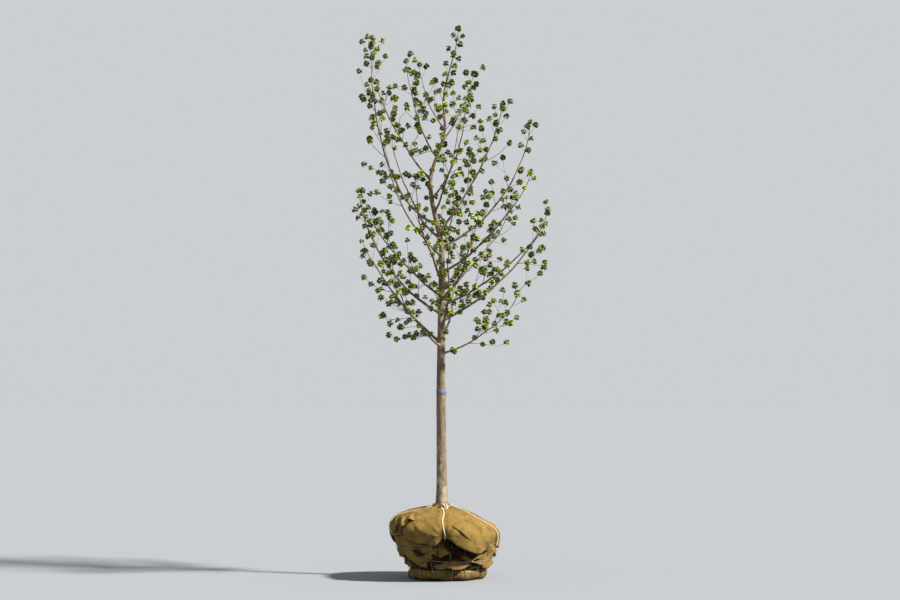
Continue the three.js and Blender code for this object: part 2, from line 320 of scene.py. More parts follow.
LEAVES = [
    plain("leaf_bright", (0.220, 0.268, 0.018), 0.48),
    plain("leaf_fresh", (0.143, 0.194, 0.014), 0.50),
    plain("leaf_mid", (0.079, 0.117, 0.010), 0.52),
    plain("leaf_deep", (0.034, 0.058, 0.007), 0.54),
    plain("leaf_gold", (0.262, 0.246, 0.021), 0.48),
    plain("leaf_bronze", (0.185, 0.104, 0.026), 0.48),
]
GOLD_SHARE, BRONZE_SHARE = 0.08, 0.03  # shares of the tufts that are golden or bronze
TWIGS = [
    plain("twig_tan", (0.180, 0.117, 0.076), 0.65),
    plain("twig_pink", (0.195, 0.108, 0.079), 0.62),
    plain("twig_brown", (0.078, 0.047, 0.031), 0.70),
    plain("twig_green", (0.115, 0.102, 0.037), 0.60),
]


def node(nt, kind, **sets):
    n = nt.nodes.new(kind)
    for k, v in sets.items():
        if k in n.inputs:
            n.inputs[k].default_value = v
        else:
            setattr(n, k, v)
    return n


def bark_material(name, old, young, streak, lenticel):
    """Old and young are pale, middle and dark tones; the point attribute young says how much of the second is taken."""
    m = bpy.data.materials.new(name)
    m.use_nodes = True
    nt = m.node_tree
    L = nt.links.new
    bsdf = nt.nodes["Principled BSDF"]
    bsdf.inputs["Specular IOR Level"].default_value = 0.25
    co = node(nt, "ShaderNodeTexCoord")
    # long streaks up the limb
    up = node(nt, "ShaderNodeMapping")
    up.inputs["Scale"].default_value = (streak, streak, streak * 0.16)
    L(co.outputs["Object"], up.inputs["Vector"])
    streaks = node(nt, "ShaderNodeTexNoise", Scale=1.0, Detail=8.0, Roughness=0.62)
    L(up.outputs["Vector"], streaks.inputs["Vector"])
    # patches of lighter and darker bark
    patch = node(nt, "ShaderNodeTexNoise", Scale=9.0, Detail=4.0, Roughness=0.55)
    L(co.outputs["Object"], patch.inputs["Vector"])
    mix = node(nt, "ShaderNodeMath", operation="MULTIPLY_ADD")
    mix.inputs[1].default_value = 0.45
    L(patch.outputs["Fac"], mix.inputs[0])
    half = node(nt, "ShaderNodeMath", operation="MULTIPLY")
    half.inputs[1].default_value = 0.58
    L(streaks.outputs["Fac"], half.inputs[0])
    L(half.outputs[0], mix.inputs[2])
    ramps = []
    for pale, mid, dark in (old, young):
        ramp = node(nt, "ShaderNodeValToRGB")
        e = ramp.color_ramp.elements
        e[0].position, e[0].color = 0.30, (*dark, 1)
        e[1].position, e[1].color = 0.72, (*pale, 1)
        e.new(0.47).color = (*mid, 1)
        L(mix.outputs[0], ramp.inputs["Fac"])
        ramps.append(ramp)
    age = node(nt, "ShaderNodeAttribute", attribute_name="young")
    both = node(nt, "ShaderNodeMix", data_type="RGBA")
    L(age.outputs["Fac"], both.inputs["Factor"])
    L(ramps[0].outputs["Color"], both.inputs[6])
    L(ramps[1].outputs["Color"], both.inputs[7])
    # pale lenticels, short level dashes
    flat = node(nt, "ShaderNodeMapping")
    flat.inputs["Scale"].default_value = (lenticel * 0.45, lenticel * 0.45, lenticel)
    L(co.outputs["Object"], flat.inputs["Vector"])
    cells = node(nt, "ShaderNodeTexVoronoi", Scale=1.0)
    L(flat.outputs["Vector"], cells.inputs["Vector"])
    spot = node(nt, "ShaderNodeMapRange")
    spot.inputs["From Min"].default_value = 0.13
    spot.inputs["From Max"].default_value = 0.20
    spot.inputs["To Min"].default_value = 1.0
    spot.inputs["To Max"].default_value = 0.0
    L(cells.outputs["Distance"], spot.inputs["Value"])
    # soft pale blotches on older bark
    wide = node(nt, "ShaderNodeMapping")
    wide.inputs["Scale"].default_value = (15.0, 15.0, 8.0)
    L(co.outputs["Object"], wide.inputs["Vector"])
    cloud = node(nt, "ShaderNodeTexNoise", Scale=1.0, Detail=5.0, Roughness=0.62)
    L(wide.outputs["Vector"], cloud.inputs["Vector"])
    pale_at = node(nt, "ShaderNodeMapRange")
    for key_name, value in (("From Min", 0.545), ("From Max", 0.64), ("To Min", 0.0), ("To Max", 0.72)):
        pale_at.inputs[key_name].default_value = value
    L(cloud.outputs["Fac"], pale_at.inputs["Value"])
    aged = node(nt, "ShaderNodeMath", operation="SUBTRACT")
    aged.inputs[0].default_value = 1.0
    L(age.outputs["Fac"], aged.inputs[1])
    pale_by = node(nt, "ShaderNodeMath", operation="MULTIPLY")
    L(pale_at.outputs["Result"], pale_by.inputs[0])
    L(aged.outputs[0], pale_by.inputs[1])
    blotched = node(nt, "ShaderNodeMix", data_type="RGBA")
    blotched.inputs[7].default_value = (0.305, 0.275, 0.205, 1)
    L(pale_by.outputs[0], blotched.inputs["Factor"])
    L(both.outputs[2], blotched.inputs[6])
    tint = node(nt, "ShaderNodeMix", data_type="RGBA")
    tint.inputs[7].default_value = tuple(min(1, c * 1.25) for c in old[0]) + (1,)
    fac = node(nt, "ShaderNodeMath", operation="MULTIPLY")
    fac.inputs[1].default_value = 0.55
    L(spot.outputs["Result"], fac.inputs[0])
    L(fac.outputs[0], tint.inputs["Factor"])
    L(blotched.outputs[2], tint.inputs[6])
    L(tint.outputs[2], bsdf.inputs["Base Color"])
    # roughness and relief
    rough = node(nt, "ShaderNodeMapRange")
    rough.inputs["To Min"].default_value = 0.9
    rough.inputs["To Max"].default_value = 0.62
    L(streaks.outputs["Fac"], rough.inputs["Value"])
    L(rough.outputs["Result"], bsdf.inputs["Roughness"])
    height = node(nt, "ShaderNodeMath", operation="MULTIPLY_ADD")
    height.inputs[1].default_value = 0.35
    L(spot.outputs["Result"], height.inputs[0])
    L(streaks.outputs["Fac"], height.inputs[2])
    bump = node(nt, "ShaderNodeBump")
    bump.inputs["Strength"].default_value = 0.8
    bump.inputs["Distance"].default_value = 0.0035
    L(height.outputs[0], bump.inputs["Height"])
    L(bump.outputs["Normal"], bsdf.inputs["Normal"])
    return m


OLD = ((0.195, 0.150, 0.098), (0.108, 0.080, 0.051), (0.032, 0.023, 0.015))
YOUNG = ((0.180, 0.115, 0.080), (0.090, 0.057, 0.039), (0.030, 0.019, 0.013))
BARK = bark_material("bark_stem", OLD, YOUNG, 62.0, 70.0)
BOUGH_BARK = bark_material("bark_bough", OLD, YOUNG, 95.0, 110.0)


def set_young(o, value):
    layer = o.data.attributes.new("young", "FLOAT", "POINT")
    value = np.concatenate([np.asarray(value, np.float32), np.full(len(o.data.vertices) - len(value), value[-1], np.float32)])
    layer.data.foreach_set("value", value)


# ------------------------------------------------------------------ stem with its bark relief
def stem_piece():
    sides = 60
    # rings are closer together in the flare
    z = np.concatenate([np.arange(STEM_FOOT[2] + 0.001, 0.62, 0.0035), np.arange(0.62, STEM_TIP_Z, 0.006), [STEM_TIP_Z]])
    p = stem_centre(z)
    a = np.arange(sides) / sides
    U, Z = np.meshgrid(a, z)
    R = np.repeat(stem_radius(z)[:, None], sides, 1)
    share = R / 0.041
    ang = U * 2 * np.pi
    # not quite round, in slow waves
    R = R * (1 + 0.030 * lattice_noise(U, Z / 0.45, 4, 1) + 0.022 * lattice_noise(U, Z / 0.16, 6, 2))
    # shallow upright ribs and furrows, finer and shallower up the stem
    ribs = lattice_noise(U, Z / 0.13, 22, 3) * 0.6 + lattice_noise(U + 0.02 * np.sin(Z * 9), Z / 0.05, 30, 4) * 0.4
    R = R + 0.0011 * ribs * np.clip(share, 0, 1.2) ** 1.3
    R = R + 0.0005 * lattice_noise(U, Z / 0.012, 40, 5) * np.clip(share, 0, 1)
    # old bud scars: slightly swollen rings
    rng = np.random.default_rng(7)
    zs, c = [], 0.72
    while c < 3.9:
        zs.append(c)
        c += rng.uniform(0.09, 0.20)
    for zc in zs:
        R = R + 0.0011 * np.clip(share, 0.25, 1) * np.exp(-(((Z - zc) / 0.007) ** 2)) * (0.7 + 0.3 * np.cos(ang - rng.uniform(0, 6.28)))
    # healed pruning scars on the clear stem: an oval collar round a sunk middle
    for k in range(13):
        zc, ac, w = rng.uniform(0.75, 1.72), rng.uniform(0, 2 * np.pi), rng.uniform(0.007, 0.012)
        d_a = (np.mod(ang - ac + np.pi, 2 * np.pi) - np.pi) * R
        d = np.hypot(d_a / w, (Z - zc) / (w * 1.35))
        R = R + 0.0042 * np.exp(-((d - 0.75) ** 2) / 0.20) - 0.0028 * np.exp(-(d**2) / 0.25)
    # buttresses where the roots begin
    near = np.exp(-(Z - STEM_FOOT[2]) / 0.055)
    R = R * (1 + near * (0.10 * np.cos(4 * ang + 0.7) + 0.06 * np.cos(7 * ang + 2.1)))
    v, q, t = tube(p, R, sides, cap_end=True, cap_start=True)
    o = mesh_of("stem_bark", v, q, t, [BARK])
    set_young(o, 0.85 * smooth(2.35, 3.30, Z).ravel())
    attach(o, "root")
    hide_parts("trunk")
    return o


stem_piece()

# ------------------------------------------------------------------ growth
UP = np.array([0.0, 0.0, 1.0])
LIMIT_LO = np.array(CAD_LO) - 0.012
LIMIT_HI = np.array(CAD_HI) + 0.012


def unit(v):
    return v / (np.linalg.norm(v) + 1e-12)


def unit_rows(v):
    return v / (np.linalg.norm(v, axis=-1, keepdims=True) + 1e-12)


def soften(p, times):
    p = p.copy()
    for _ in range(times):
        p[1:-1] = 0.5 * p[1:-1] + 0.25 * (p[:-2] + p[2:])
    return p


def shoot(start, direction, length, rng, lift=0.35, wander=0.10, step=0.02):
    """A slender shoot that starts along direction and turns upwards."""
    n = max(3, int(round(length / step)) + 1)
    p = [np.array(start, float)]
    d = unit(direction)
    ds = length / (n - 1)
    for _ in range(n - 1):
        d = unit(d + UP * lift * ds / max(length, 0.05) + rng.normal(0, wander, 3) * ds / 0.05 * 0.25)
        p.append(p[-1] + d * ds)
    return np.array(p), d


TUFT_GAP = 0.060  # tufts keep at least this far apart
NODE_STEP = (0.058, 0.084)
# how far side shoots spread from a bough, by share of its length
REACH_AT = (0.00, 0.12, 0.32, 0.58, 0.80, 1.00)
REACH = (0.12, 0.24, 0.30, 0.24, 0.16, 0.09)
LONG_SHARE = (0.08, 0.18, 0.30, 0.40, 0.46, 0.40)  # how many side buds grow out into shoots
BUD_SHARE = (0.26, 0.34, 0.50, 0.74, 0.90, 1.00)  # how many of the rest make a tuft


# where the crown is open to the sky from the front: X, height, half width, half height, share of the tufts left out
WINDOWS = (
    (-0.480, 3.190, 0.150, 0.105, 1.00),
    (-0.530, 3.800, 0.060, 0.080, 0.80),
    (0.090, 3.360, 0.100, 0.090, 0.80),
    (0.095, 3.600, 0.090, 0.120, 0.60),
    (0.300, 3.680, 0.085, 0.095, 0.85),
    (0.590, 3.200, 0.120, 0.080, 0.90),
    (0.580, 2.910, 0.130, 0.080, 0.80),
    (0.400, 2.740, 0.110, 0.075, 0.60),
    (-0.150, 4.050, 0.120, 0.060, 0.80),
    (-0.080, 3.920, 0.060, 0.080, 0.60),
    (-0.260, 3.880, 0.100, 0.120, 0.25),
    (-0.090, 3.080, 0.090, 0.130, 0.40),
    (-0.320, 3.040, 0.130, 0.110, 0.60),
    (-0.230, 2.740, 0.120, 0.090, 0.50),
    (0.020, 2.480, 0.200, 0.260, 0.35),
    (0.240, 2.640, 0.140, 0.120, 0.40),
    (-0.480, 2.480, 0.100, 0.100, 0.25),
    (-0.460, 3.440, 0.120, 0.190, 0.36),
    (-0.610, 3.420, 0.055, 0.100, 0.45),
    (-0.460, 3.790, 0.080, 0.100, 0.90),
    (-0.130, 3.720, 0.070, 0.080, 0.45),
    (-0.320, 3.110, 0.100, 0.090, 0.35),
    (0.150, 3.420, 0.095, 0.190, 0.55),
    (0.150, 3.150, 0.080, 0.080, 0.35),
    (0.440, 3.760, 0.120, 0.060, 0.60),
    (0.340, 2.700, 0.140, 0.090, 0.35),
    (0.590, 2.530, 0.130, 0.150, 0.60),
    (0.450, 2.450, 0.100, 0.230, 0.55),
    (0.430, 2.780, 0.090, 0.080, 0.60),
    (-0.140, 2.690, 0.080, 0.070, 0.35),
    (0.755, 3.200, 0.060, 0.060, 1.00),
    (-0.415, 3.860, 0.030, 0.055, 1.00),
    (-0.050, 4.000, 0.045, 0.050, 1.00),
    (0.330, 3.820, 0.035, 0.060, 1.00),
    (-0.600, 3.980, 0.080, 0.130, 0.25),
    (-0.300, 3.480, 0.090, 0.150, 0.30),
    (-0.300, 2.460, 0.080, 0.090, 0.35),
    (-0.410, 1.890, 0.140, 0.080, 0.45),
)
GROWTH = 18  # the seed of the whole crown


def in_the_open(p):
    for k, (x, z, wide, tall, share) in enumerate(WINDOWS):
        if ((p[0] - x) / wide) ** 2 + ((p[2] - z) / tall) ** 2 < 1:
            # the same answer each time for the same place
            if (math.sin(p[0] * 171.7 + p[1] * 319.3 + p[2] * 747.1 + k * 9.7) * 4375.85) % 1.0 < share:
                return True
    return False


class Near:
    """Finds how far a point is from the nearest one that is taken."""

    def __init__(self, cell):
        self.cell, self.bins = cell, {}

    def key(self, p):
        return tuple(int(math.floor(c / self.cell)) for c in p)

    def add(self, p):
        self.bins.setdefault(self.key(p), []).append(p)

    def distance(self, p, most):
        i, j, k = self.key(p)
        n = int(math.ceil(most / self.cell))
        best = most
        for a in range(i - n, i + n + 1):
            for b in range(j - n, j + n + 1):
                for c in range(k - n, k + n + 1):
                    for q in self.bins.get((a, b, c), ()):
                        best = min(best, math.dist(p, q))
        return best


twig_bag = Bag()
tufts = []  # place, axis, size, spray
taken = Near(0.05)
spray_count = 0


def new_spray():
    global spray_count
    spray_count += 1
    return spray_count


def inside(p, margin=0.040):
    return bool(np.all(p > LIMIT_LO + margin) and np.all(p < LIMIT_HI - margin))


def add_tuft(p, axis, size, spray, gap=TUFT_GAP, always=False):
    """Puts a tuft at p if there is room; always is for the ends of the boughs, which are never bare."""
    if not inside(p, 0.022 if always else 0.040) or taken.distance(p, gap) < gap or (not always and in_the_open(p)):
        return False
    tufts.append((np.array(p), unit(axis), size, spray))
    taken.add(tuple(p))
    return True


def sides_of(d, turn):
    """Two opposite directions square to d, turned about it."""
    ref = UP if abs(d[2]) < 0.95 else np.array([1.0, 0, 0])
    a = unit(np.cross(d, ref))
    b = np.cross(d, a)
    s = math.cos(turn) * a + math.sin(turn) * b
    return s, -s


def along(p):
    return np.concatenate([[0], np.cumsum(np.linalg.norm(np.diff(p, axis=0), axis=1))])


def point_at(p, s, at):
    i = min(len(p) - 2, max(0, int(np.searchsorted(s, at)) - 1))
    f = (at - s[i]) / max(1e-9, s[i + 1] - s[i])
    return p[i] + (p[i + 1] - p[i]) * f, unit(p[i + 1] - p[i])


def spur(foot, out, length, spray, rng, thick=0.0013, always=False):
    """A short side twig that ends in a tuft, left out where there is no room for it."""
    end = foot + unit(out) * length + UP * length * 0.25
    shade = int(rng.choice([0, 1, 3]))
    if not add_tuft(end, out * 0.55 + UP * 0.75, rng.uniform(0.84, 1.10), spray, always=always):
        return
    mid = (foot + end) / 2 - UP * length * 0.06
    v, q, t = tube(np.array([foot, mid, end]), np.array([thick * 1.3, thick, thick * 0.85]), 4)
    twig_bag.add(v, q, t, mat=shade)


def dress(p, radius, rng, level, first=None):
    """Turns the path p into a twig with tufts on spurs along it and one at its tip; it ends at its last tuft."""
    rng = np.random.default_rng(int(rng.integers(1 << 30)))  # so that one twig doesn't change the next
    spray = new_spray()
    s = along(p)
    length = s[-1]
    shade = int(rng.choice(4, p=[0.38, 0.37, 0.17, 0.08]))
    at = min(0.07, length * 0.4) if first is None else first
    turn = rng.uniform(0, np.pi)
    tip = p[-1] + unit(p[-1] - p[-2]) * 0.004
    end = length if add_tuft(tip, unit(p[-1] - p[-2]) * 0.6 + UP * 0.6, rng.uniform(0.95, 1.15), spray, TUFT_GAP * 0.8) else 0.0
    while at < length - 0.024:
        foot, tangent = point_at(p, s, at)
        before = len(tufts)
        for k, side in enumerate(sides_of(tangent, turn)):
            out = unit(tangent * 0.65 + side)
            if out[2] < -0.25:
                out = unit(out + UP * 0.4)
            if level == 1 and length > 0.17 and at < length * 0.72 and rng.random() < 0.26:
                n = rng.uniform(0.055, 0.115)
                sub, _ = shoot(foot, unit(out + tangent * 0.2), n, rng, lift=0.5)
                if inside(sub[-1]) and taken.distance(tuple(sub[-1]), TUFT_GAP) >= TUFT_GAP:
                    dress(sub, 0.0015, rng, 2)
            elif rng.random() < (0.9, 0.45)[k]:
                spur(foot, out, rng.uniform(0.012, 0.038), spray, rng)
        if len(tufts) > before:
            end = max(end, at + 0.004)
        turn += np.pi / 2 + rng.normal(0, 0.2)
        at += rng.uniform(*NODE_STEP)
    if end:
        to = np.append(s[s < end - 0.002], end)
        path = np.stack([np.interp(to, s, p[:, k]) for k in range(3)], -1)
        r = radius + (max(0.0011, radius * 0.5) - radius) * to / length
        v, q, t = tube(path, r, 6 if radius > 0.0020 else 5)
        twig_bag.add(v, q, t, mat=shade)


def roomiest(foot, tangent, length, rng, tries=7):
    """The direction, out of a few, in which a side shoot finds the most room."""
    best, best_score = None, -1.0
    a, b = sides_of(tangent, 0.0)[0], sides_of(tangent, np.pi / 2)[0]
    for _ in range(tries):
        phi, lean = rng.uniform(0, 2 * np.pi), rng.uniform(0.62, 1.05)
        out = math.cos(lean) * tangent + math.sin(lean) * (math.cos(phi) * a + math.sin(phi) * b)
        if out[2] < -0.05:
            continue
        end = foot + unit(out + UP * 0.25) * length
        if not inside(end):
            continue
        mid = foot + out * length * 0.55
        score = taken.distance(tuple(end), 0.14) + taken.distance(tuple(mid), 0.14)
        if score > best_score:
            best, best_score = out, score
    return best, best_score


limb_points, limb_tangents, limb_shares = [], [], []


def limb_nodes(p, radii, first, rng, spread=1.0, longs=1.0, buds=1.0, last=1.0, close=0.0):
    """Side shoots and spurs along a limb from first metres on; returns where its nodes are."""
    s = along(p)
    total = s[-1]
    at = first
    turn = rng.uniform(0, np.pi)
    marks = []
    sprays = [new_spray() for _ in range(1 + int(total / 0.22))]
    while at < total * last - 0.02:
        share = at / total
        foot, tangent = point_at(p, s, at)
        local = float(np.interp(at, s, radii))
        marks.append(at)
        spray = sprays[int(at / 0.22)]
        for k, side in enumerate(sides_of(tangent, turn)):
            own = np.random.default_rng(int(rng.integers(1 << 30)))
            reach = float(np.interp(share, REACH_AT, REACH)) * spread
            if own.random() < float(np.interp(share, REACH_AT, LONG_SHARE)) * longs:
                length = reach * own.uniform(0.6, 1.1)
                out, score = roomiest(foot, tangent, length, own)
                if out is not None and score > 0.13:
                    path, _ = shoot(foot, out, length, own, lift=0.75)
                    dress(path, min(0.0030, local * 0.5, 0.0016 + length * 0.006), own, 1)
                    continue
            if own.random() < (0.95, 0.55)[k] * float(np.interp(share, REACH_AT, BUD_SHARE)) * buds or share > 0.88:
                out = unit(tangent * 0.6 + side)
                if out[2] < -0.2:
                    out = unit(out + UP * 0.4)
                spur(foot, out, local + own.uniform(0.014, 0.030 + 0.018 * share), spray, own, 0.0015, share > 0.88)
        turn += np.pi / 2 + rng.normal(0, 0.22)
        at += rng.uniform(*NODE_STEP) * (1 - close * share)
    end = unit(p[-1] - p[-4])
    add_tuft(p[-1], end + UP * 0.3, rng.uniform(1.0, 1.15), sprays[-1], TUFT_GAP * 0.4, True)
    share = s / total
    pick = slice(None, None, 3)
    limb_points.append(p[pick])
    limb_tangents.append((np.gradient(p, axis=0) / np.linalg.norm(np.gradient(p, axis=0), axis=1)[:, None])[pick])
    limb_shares.append(share[pick])
    return marks


def bough_piece(row, index):
    name, z, tip, bend, r0, bare = row
    rng = np.random.default_rng([GROWTH, index])
    t, p = bough_points(row, index)
    s = along(p)
    # small kinks at the nodes
    _, n, b = frames_along(p)
    fade = np.clip(s / 0.15, 0, 1) * np.clip((s[-1] - s) / 0.05, 0, 1)
    w = (np.sin(s / 0.037 + index) * 0.0016 + np.sin(s / 0.071 + 2 * index) * 0.0028) * fade
    w2 = np.cos(s / 0.049 + 3 * index) * 0.0018 * fade
    p = p + n * w[:, None] + b * w2[:, None]
    r = BOUGH_TIP_RADIUS * 0.8 + (r0 - BOUGH_TIP_RADIUS * 0.8) * (1 - t) ** 0.8
    stem_r = float(stem_radius(z))
    first = stem_r + (0.06 + 0.10 * bare) * s[-1]
    # the boughs that come towards the eye or go away from it are more open near the stem
    open_one = name.startswith(("front", "back"))
    marks = limb_nodes(p, r, first * (1.5 if open_one else 1.0), rng, spread=SPREADS.get(name, 1.0), longs=0.72 if open_one else 1.0, buds=0.72 if open_one else 1.0, close=DENSE_TIPS.get(name, 0.0))
    # rings stand closer together near the stem
    fine = np.concatenate([np.arange(0, 0.115, 0.0026), s[s >= 0.115]])
    r = np.interp(fine, s, r)
    p = np.stack([np.interp(fine, s, p[:, k]) for k in range(3)], -1)
    p[:46] = soften(p[:46], 4)
    past = np.clip(fine - stem_r * 0.9, 0, None)
    r = r * (1 + 0.22 * np.exp(-past / 0.030) + 0.10 * np.exp(-past / 0.09)) * (0.45 + 0.55 * smooth(0.0, stem_r * 0.85, fine))
    sides = 16
    U, S = np.meshgrid(np.arange(sides) / sides, fine)
    R = np.repeat(r[:, None], sides, 1)
    R = R * (1 + 0.05 * lattice_noise(U, S / 0.06, 4, 300 + index) + 0.035 * lattice_noise(U, S / 0.015, 7, 400 + index))
    for m in marks:
        R = R * (1 + 0.16 * np.exp(-(((S - m) / 0.0065) ** 2)))
    v, q, tr = tube(p, R, sides, cap_end=True, cap_start=True)
    body = v[: R.size].reshape(*R.shape, 3)
    heart = stem_centre(body[..., 2])
    off = (body - heart) * (1, 1, 0)
    far = np.linalg.norm(off, axis=-1)
    gap = far - stem_radius(body[..., 2])
    off = off / np.maximum(far, 1e-6)[..., None]
    away = body - p[:, None]
    away = unit_rows(away)
    away = away - off * (away * off).sum(-1, keepdims=True)
    spread = min(1.15 * r0, 0.80 * stem_r) * np.exp(-np.clip(gap, 0, None) / (0.30 * r0 + 0.0062)) * smooth(-0.012, -0.002, gap)
    body += away * spread[..., None]
    o = mesh_of("bark_" + name, v, q, tr, [BOUGH_BARK])
    set_young(o, 1 - 0.9 * np.exp(-np.clip(gap, 0, None) / 0.030).ravel() * (1 - 0.85 * smooth(2.35, 3.30, body[..., 2])).ravel())
    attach(o, "root")
    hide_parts("bough_" + name)


for i, row in enumerate(BOUGHS):
    bough_piece(row, i)

# leader: its own twigs from the first boughs to the top
rng = np.random.default_rng([GROWTH, 61])
z = np.arange(2.95, STEM_TIP_Z, 0.01)
limb_nodes(stem_centre(z), stem_radius(z), 0.02, rng, spread=0.5, longs=1.3, buds=1.6, close=0.45)
# the last year's growth carries short twigs close together, a third of a turn and a little more apart
for k, z in enumerate(np.linspace(3.79, 4.11, 9)):
    turn = 1.9 + 2.40 * k
    foot = stem_centre(z)
    out = np.array([math.sin(turn), -0.8 * math.cos(turn), 0.95])
    twig, _ = shoot(foot, unit(out), 0.105 - 0.050 * k / 8, rng, lift=0.8, step=0.012)
    dress(twig, 0.0016, rng, 2, first=0.045)
# short shoots straight off the stem between the lower boughs
z = np.arange(1.80, 2.96, 0.01)
limb_nodes(stem_centre(z), stem_radius(z), 0.06, rng, spread=0.45, longs=0.35, buds=0.38, last=0.97)
print("tufts before filling", len(tufts))

# ------------------------------------------------------------------ fill the gaps between the boughs
# A shoot grows from the nearest fitting limb to each place near a bough that still has no tuft.
limb_p, limb_t, limb_s = np.concatenate(limb_points), np.concatenate(limb_tangents), np.concatenate(limb_shares)
FILL_TRIES, FILL_GAP = 900, 0.116
for k in range(FILL_TRIES):
    rng = np.random.default_rng([GROWTH, 4242, k])
    i = int(rng.integers(len(limb_p)))
    if rng.random() > 0.25 + limb_s[i]:
        continue
    reach = float(np.interp(limb_s[i], REACH_AT, REACH)) * 1.15
    v = unit(rng.normal(0, 1, 3))
    goal = limb_p[i] + v * rng.uniform(0.05, max(0.06, reach))
    if not inside(goal, 0.05) or taken.distance(tuple(goal), FILL_GAP) < FILL_GAP:
        continue
    if abs(goal[0] - 0.05) < 0.24 and goal[2] < 3.2 and rng.random() < 0.75:
        continue
    d = goal - limb_p
    far = np.linalg.norm(d, axis=1)
    fit = (far > 0.045) & (far < 0.34)
    cosine = np.einsum("ij,ij->i", d, limb_t) / np.maximum(far, 1e-6)
    fit &= (cosine > 0.45) & (cosine < 0.93) & (d[:, 2] > 0.0)
    if not fit.any():
        continue
    j = int(np.where(fit)[0][np.argmin(far[fit])])
    foot, tangent, dist = limb_p[j], limb_t[j], far[j]
    # leaves at an angle, then turns up towards the light
    c1 = foot + unit(d[j] * 0.6 / dist + tangent * 0.25) * dist * 0.4
    c2 = goal - unit(tangent * 0.3 + UP * 0.5 + d[j] / dist * 0.5) * dist * 0.3
    t = np.linspace(0, 1, max(5, int(dist / 0.018)))[:, None]
    path = foot * (1 - t) ** 3 + 3 * c1 * t * (1 - t) ** 2 + 3 * c2 * t * t * (1 - t) + goal * t**3
    dress(path, 0.0012 + dist * 0.005, rng, 1, first=max(0.06, dist * 0.35))

print("tufts", len(tufts), "sprays", spray_count, "twig triangles", twig_bag.faces())

# ------------------------------------------------------------------ leaves
# Half outline of one lobed leaf, base at 0 and tip at 1.
HALF = np.array([(0.20, -0.08), (0.48, 0.00), (0.54, 0.24), (0.64, 0.50), (0.46, 0.64), (0.26, 0.83)])
RIB = np.array([(0.0, 0.04), (0.0, 0.30), (0.0, 0.56), (0.0, 0.79), (0.0, 1.0)])
# triangles on the right half: rib 0-4, then outline 5-10
HALF_TRIS = [(0, 5, 6), (0, 6, 7), (0, 7, 1), (1, 7, 8), (1, 8, 9), (1, 9, 2), (2, 9, 10), (2, 10, 3), (3, 10, 4)]


def leaf_template(fold, droop, cup):
    right = HALF
    left = HALF * (-1, 1)
    flat = np.vstack([RIB, right, left])
    x, y = flat[:, 0], flat[:, 1]
    zz = fold * np.abs(x) - droop * np.clip(y - 0.15, 0, None) ** 2 - cup * x**2 * 1.5
    v = np.stack([x * (1 - 0.25 * fold), y - droop * 0.15 * y**2, zz], -1)
    tris = list(HALF_TRIS)
    other = [tuple(k if k < 5 else k + 6 for k in f) for f in HALF_TRIS]
    tris += [(a, c, b) for a, b, c in other]
    return v, np.array(tris)


TEMPLATES = [leaf_template(0.26, 0.30, 0.20), leaf_template(0.60, 0.35, 0.10), leaf_template(0.12, 0.60, 0.45), leaf_template(0.40, 0.15, 0.30)]
# rings of leaves in a tuft, from the lowest: how many, blade length, lean from the tuft's axis, height on it
RINGS = ((6, 0.0210, 2.00, 0.000), (6, 0.0220, 1.45, 0.003), (5, 0.0205, 0.95, 0.008), (3, 0.0160, 0.45, 0.011))
RING_SHADE = (0.38, 0.22, 0.05, -0.10)  # lower rings of leaves get darker tones
GREEN_STEPS = (0.26, 0.52, 0.76)

rng = np.random.default_rng(9001)
leaf_rows = []  # place, stalk, x axis, y axis, z axis, size, template, material, spray
spray_tone = {}
for place, axis, size, spray in tufts:
    if spray not in spray_tone:
        spray_tone[spray] = rng.random()
    # a spray keeps near one tone; its tufts vary a little round it
    tone = np.clip(spray_tone[spray] * 0.6 + rng.random() * 0.4, 0, 0.999)
    family = int(np.searchsorted((GOLD_SHARE, GOLD_SHARE + BRONZE_SHARE), (spray_tone[spray] * 7919.0) % 1.0 * 0.7 + rng.random() * 0.3))
    family = (0, 1, 2)[family]
    a = unit(axis + rng.normal(0, 0.16, 3))
    ref = unit(np.cross(a, [0.3, 0.5, 0.81]))
    ref2 = np.cross(a, ref)
    turn = rng.uniform(0, np.pi)
    for k, (count, long, lean, up) in enumerate(RINGS):
        for j in range(count):
            if k < 3 and rng.random() < 0.07:
                continue
            blade = long * size * rng.uniform(0.84, 1.14)
            phi = turn + k * 0.6 + j * 2 * np.pi / count + rng.normal(0, 0.18)
            side = math.cos(phi) * ref + math.sin(phi) * ref2
            lean_here = lean + rng.normal(0, 0.15)
            y = unit(math.cos(lean_here) * a + math.sin(lean_here) * side - UP * 0.12)
            zax = unit(a - y * (a @ y) + rng.normal(0, 0.12, 3)) if k else unit(side * 0.55 + a - y * ((side * 0.55 + a) @ y) + rng.normal(0, 0.1, 3))
            zax = unit(zax - y * (zax @ y))
            x = np.cross(y, zax)
            base = place + a * up * size
            stalk = unit(y * 0.6 + side * 0.7 + a * 0.2) * (0.0075 if k < 2 else 0.004) * size
            m = int(np.searchsorted(GREEN_STEPS, tone * 0.62 + RING_SHADE[k] + rng.normal(0, 0.09)))
            if k > 0 and family < 2 and rng.random() < 0.7:
                m = 4 + family
            leaf_rows.append((base, stalk, x, y, zax, blade, int(rng.integers(len(TEMPLATES))), m, spray))
print("leaves", len(leaf_rows))


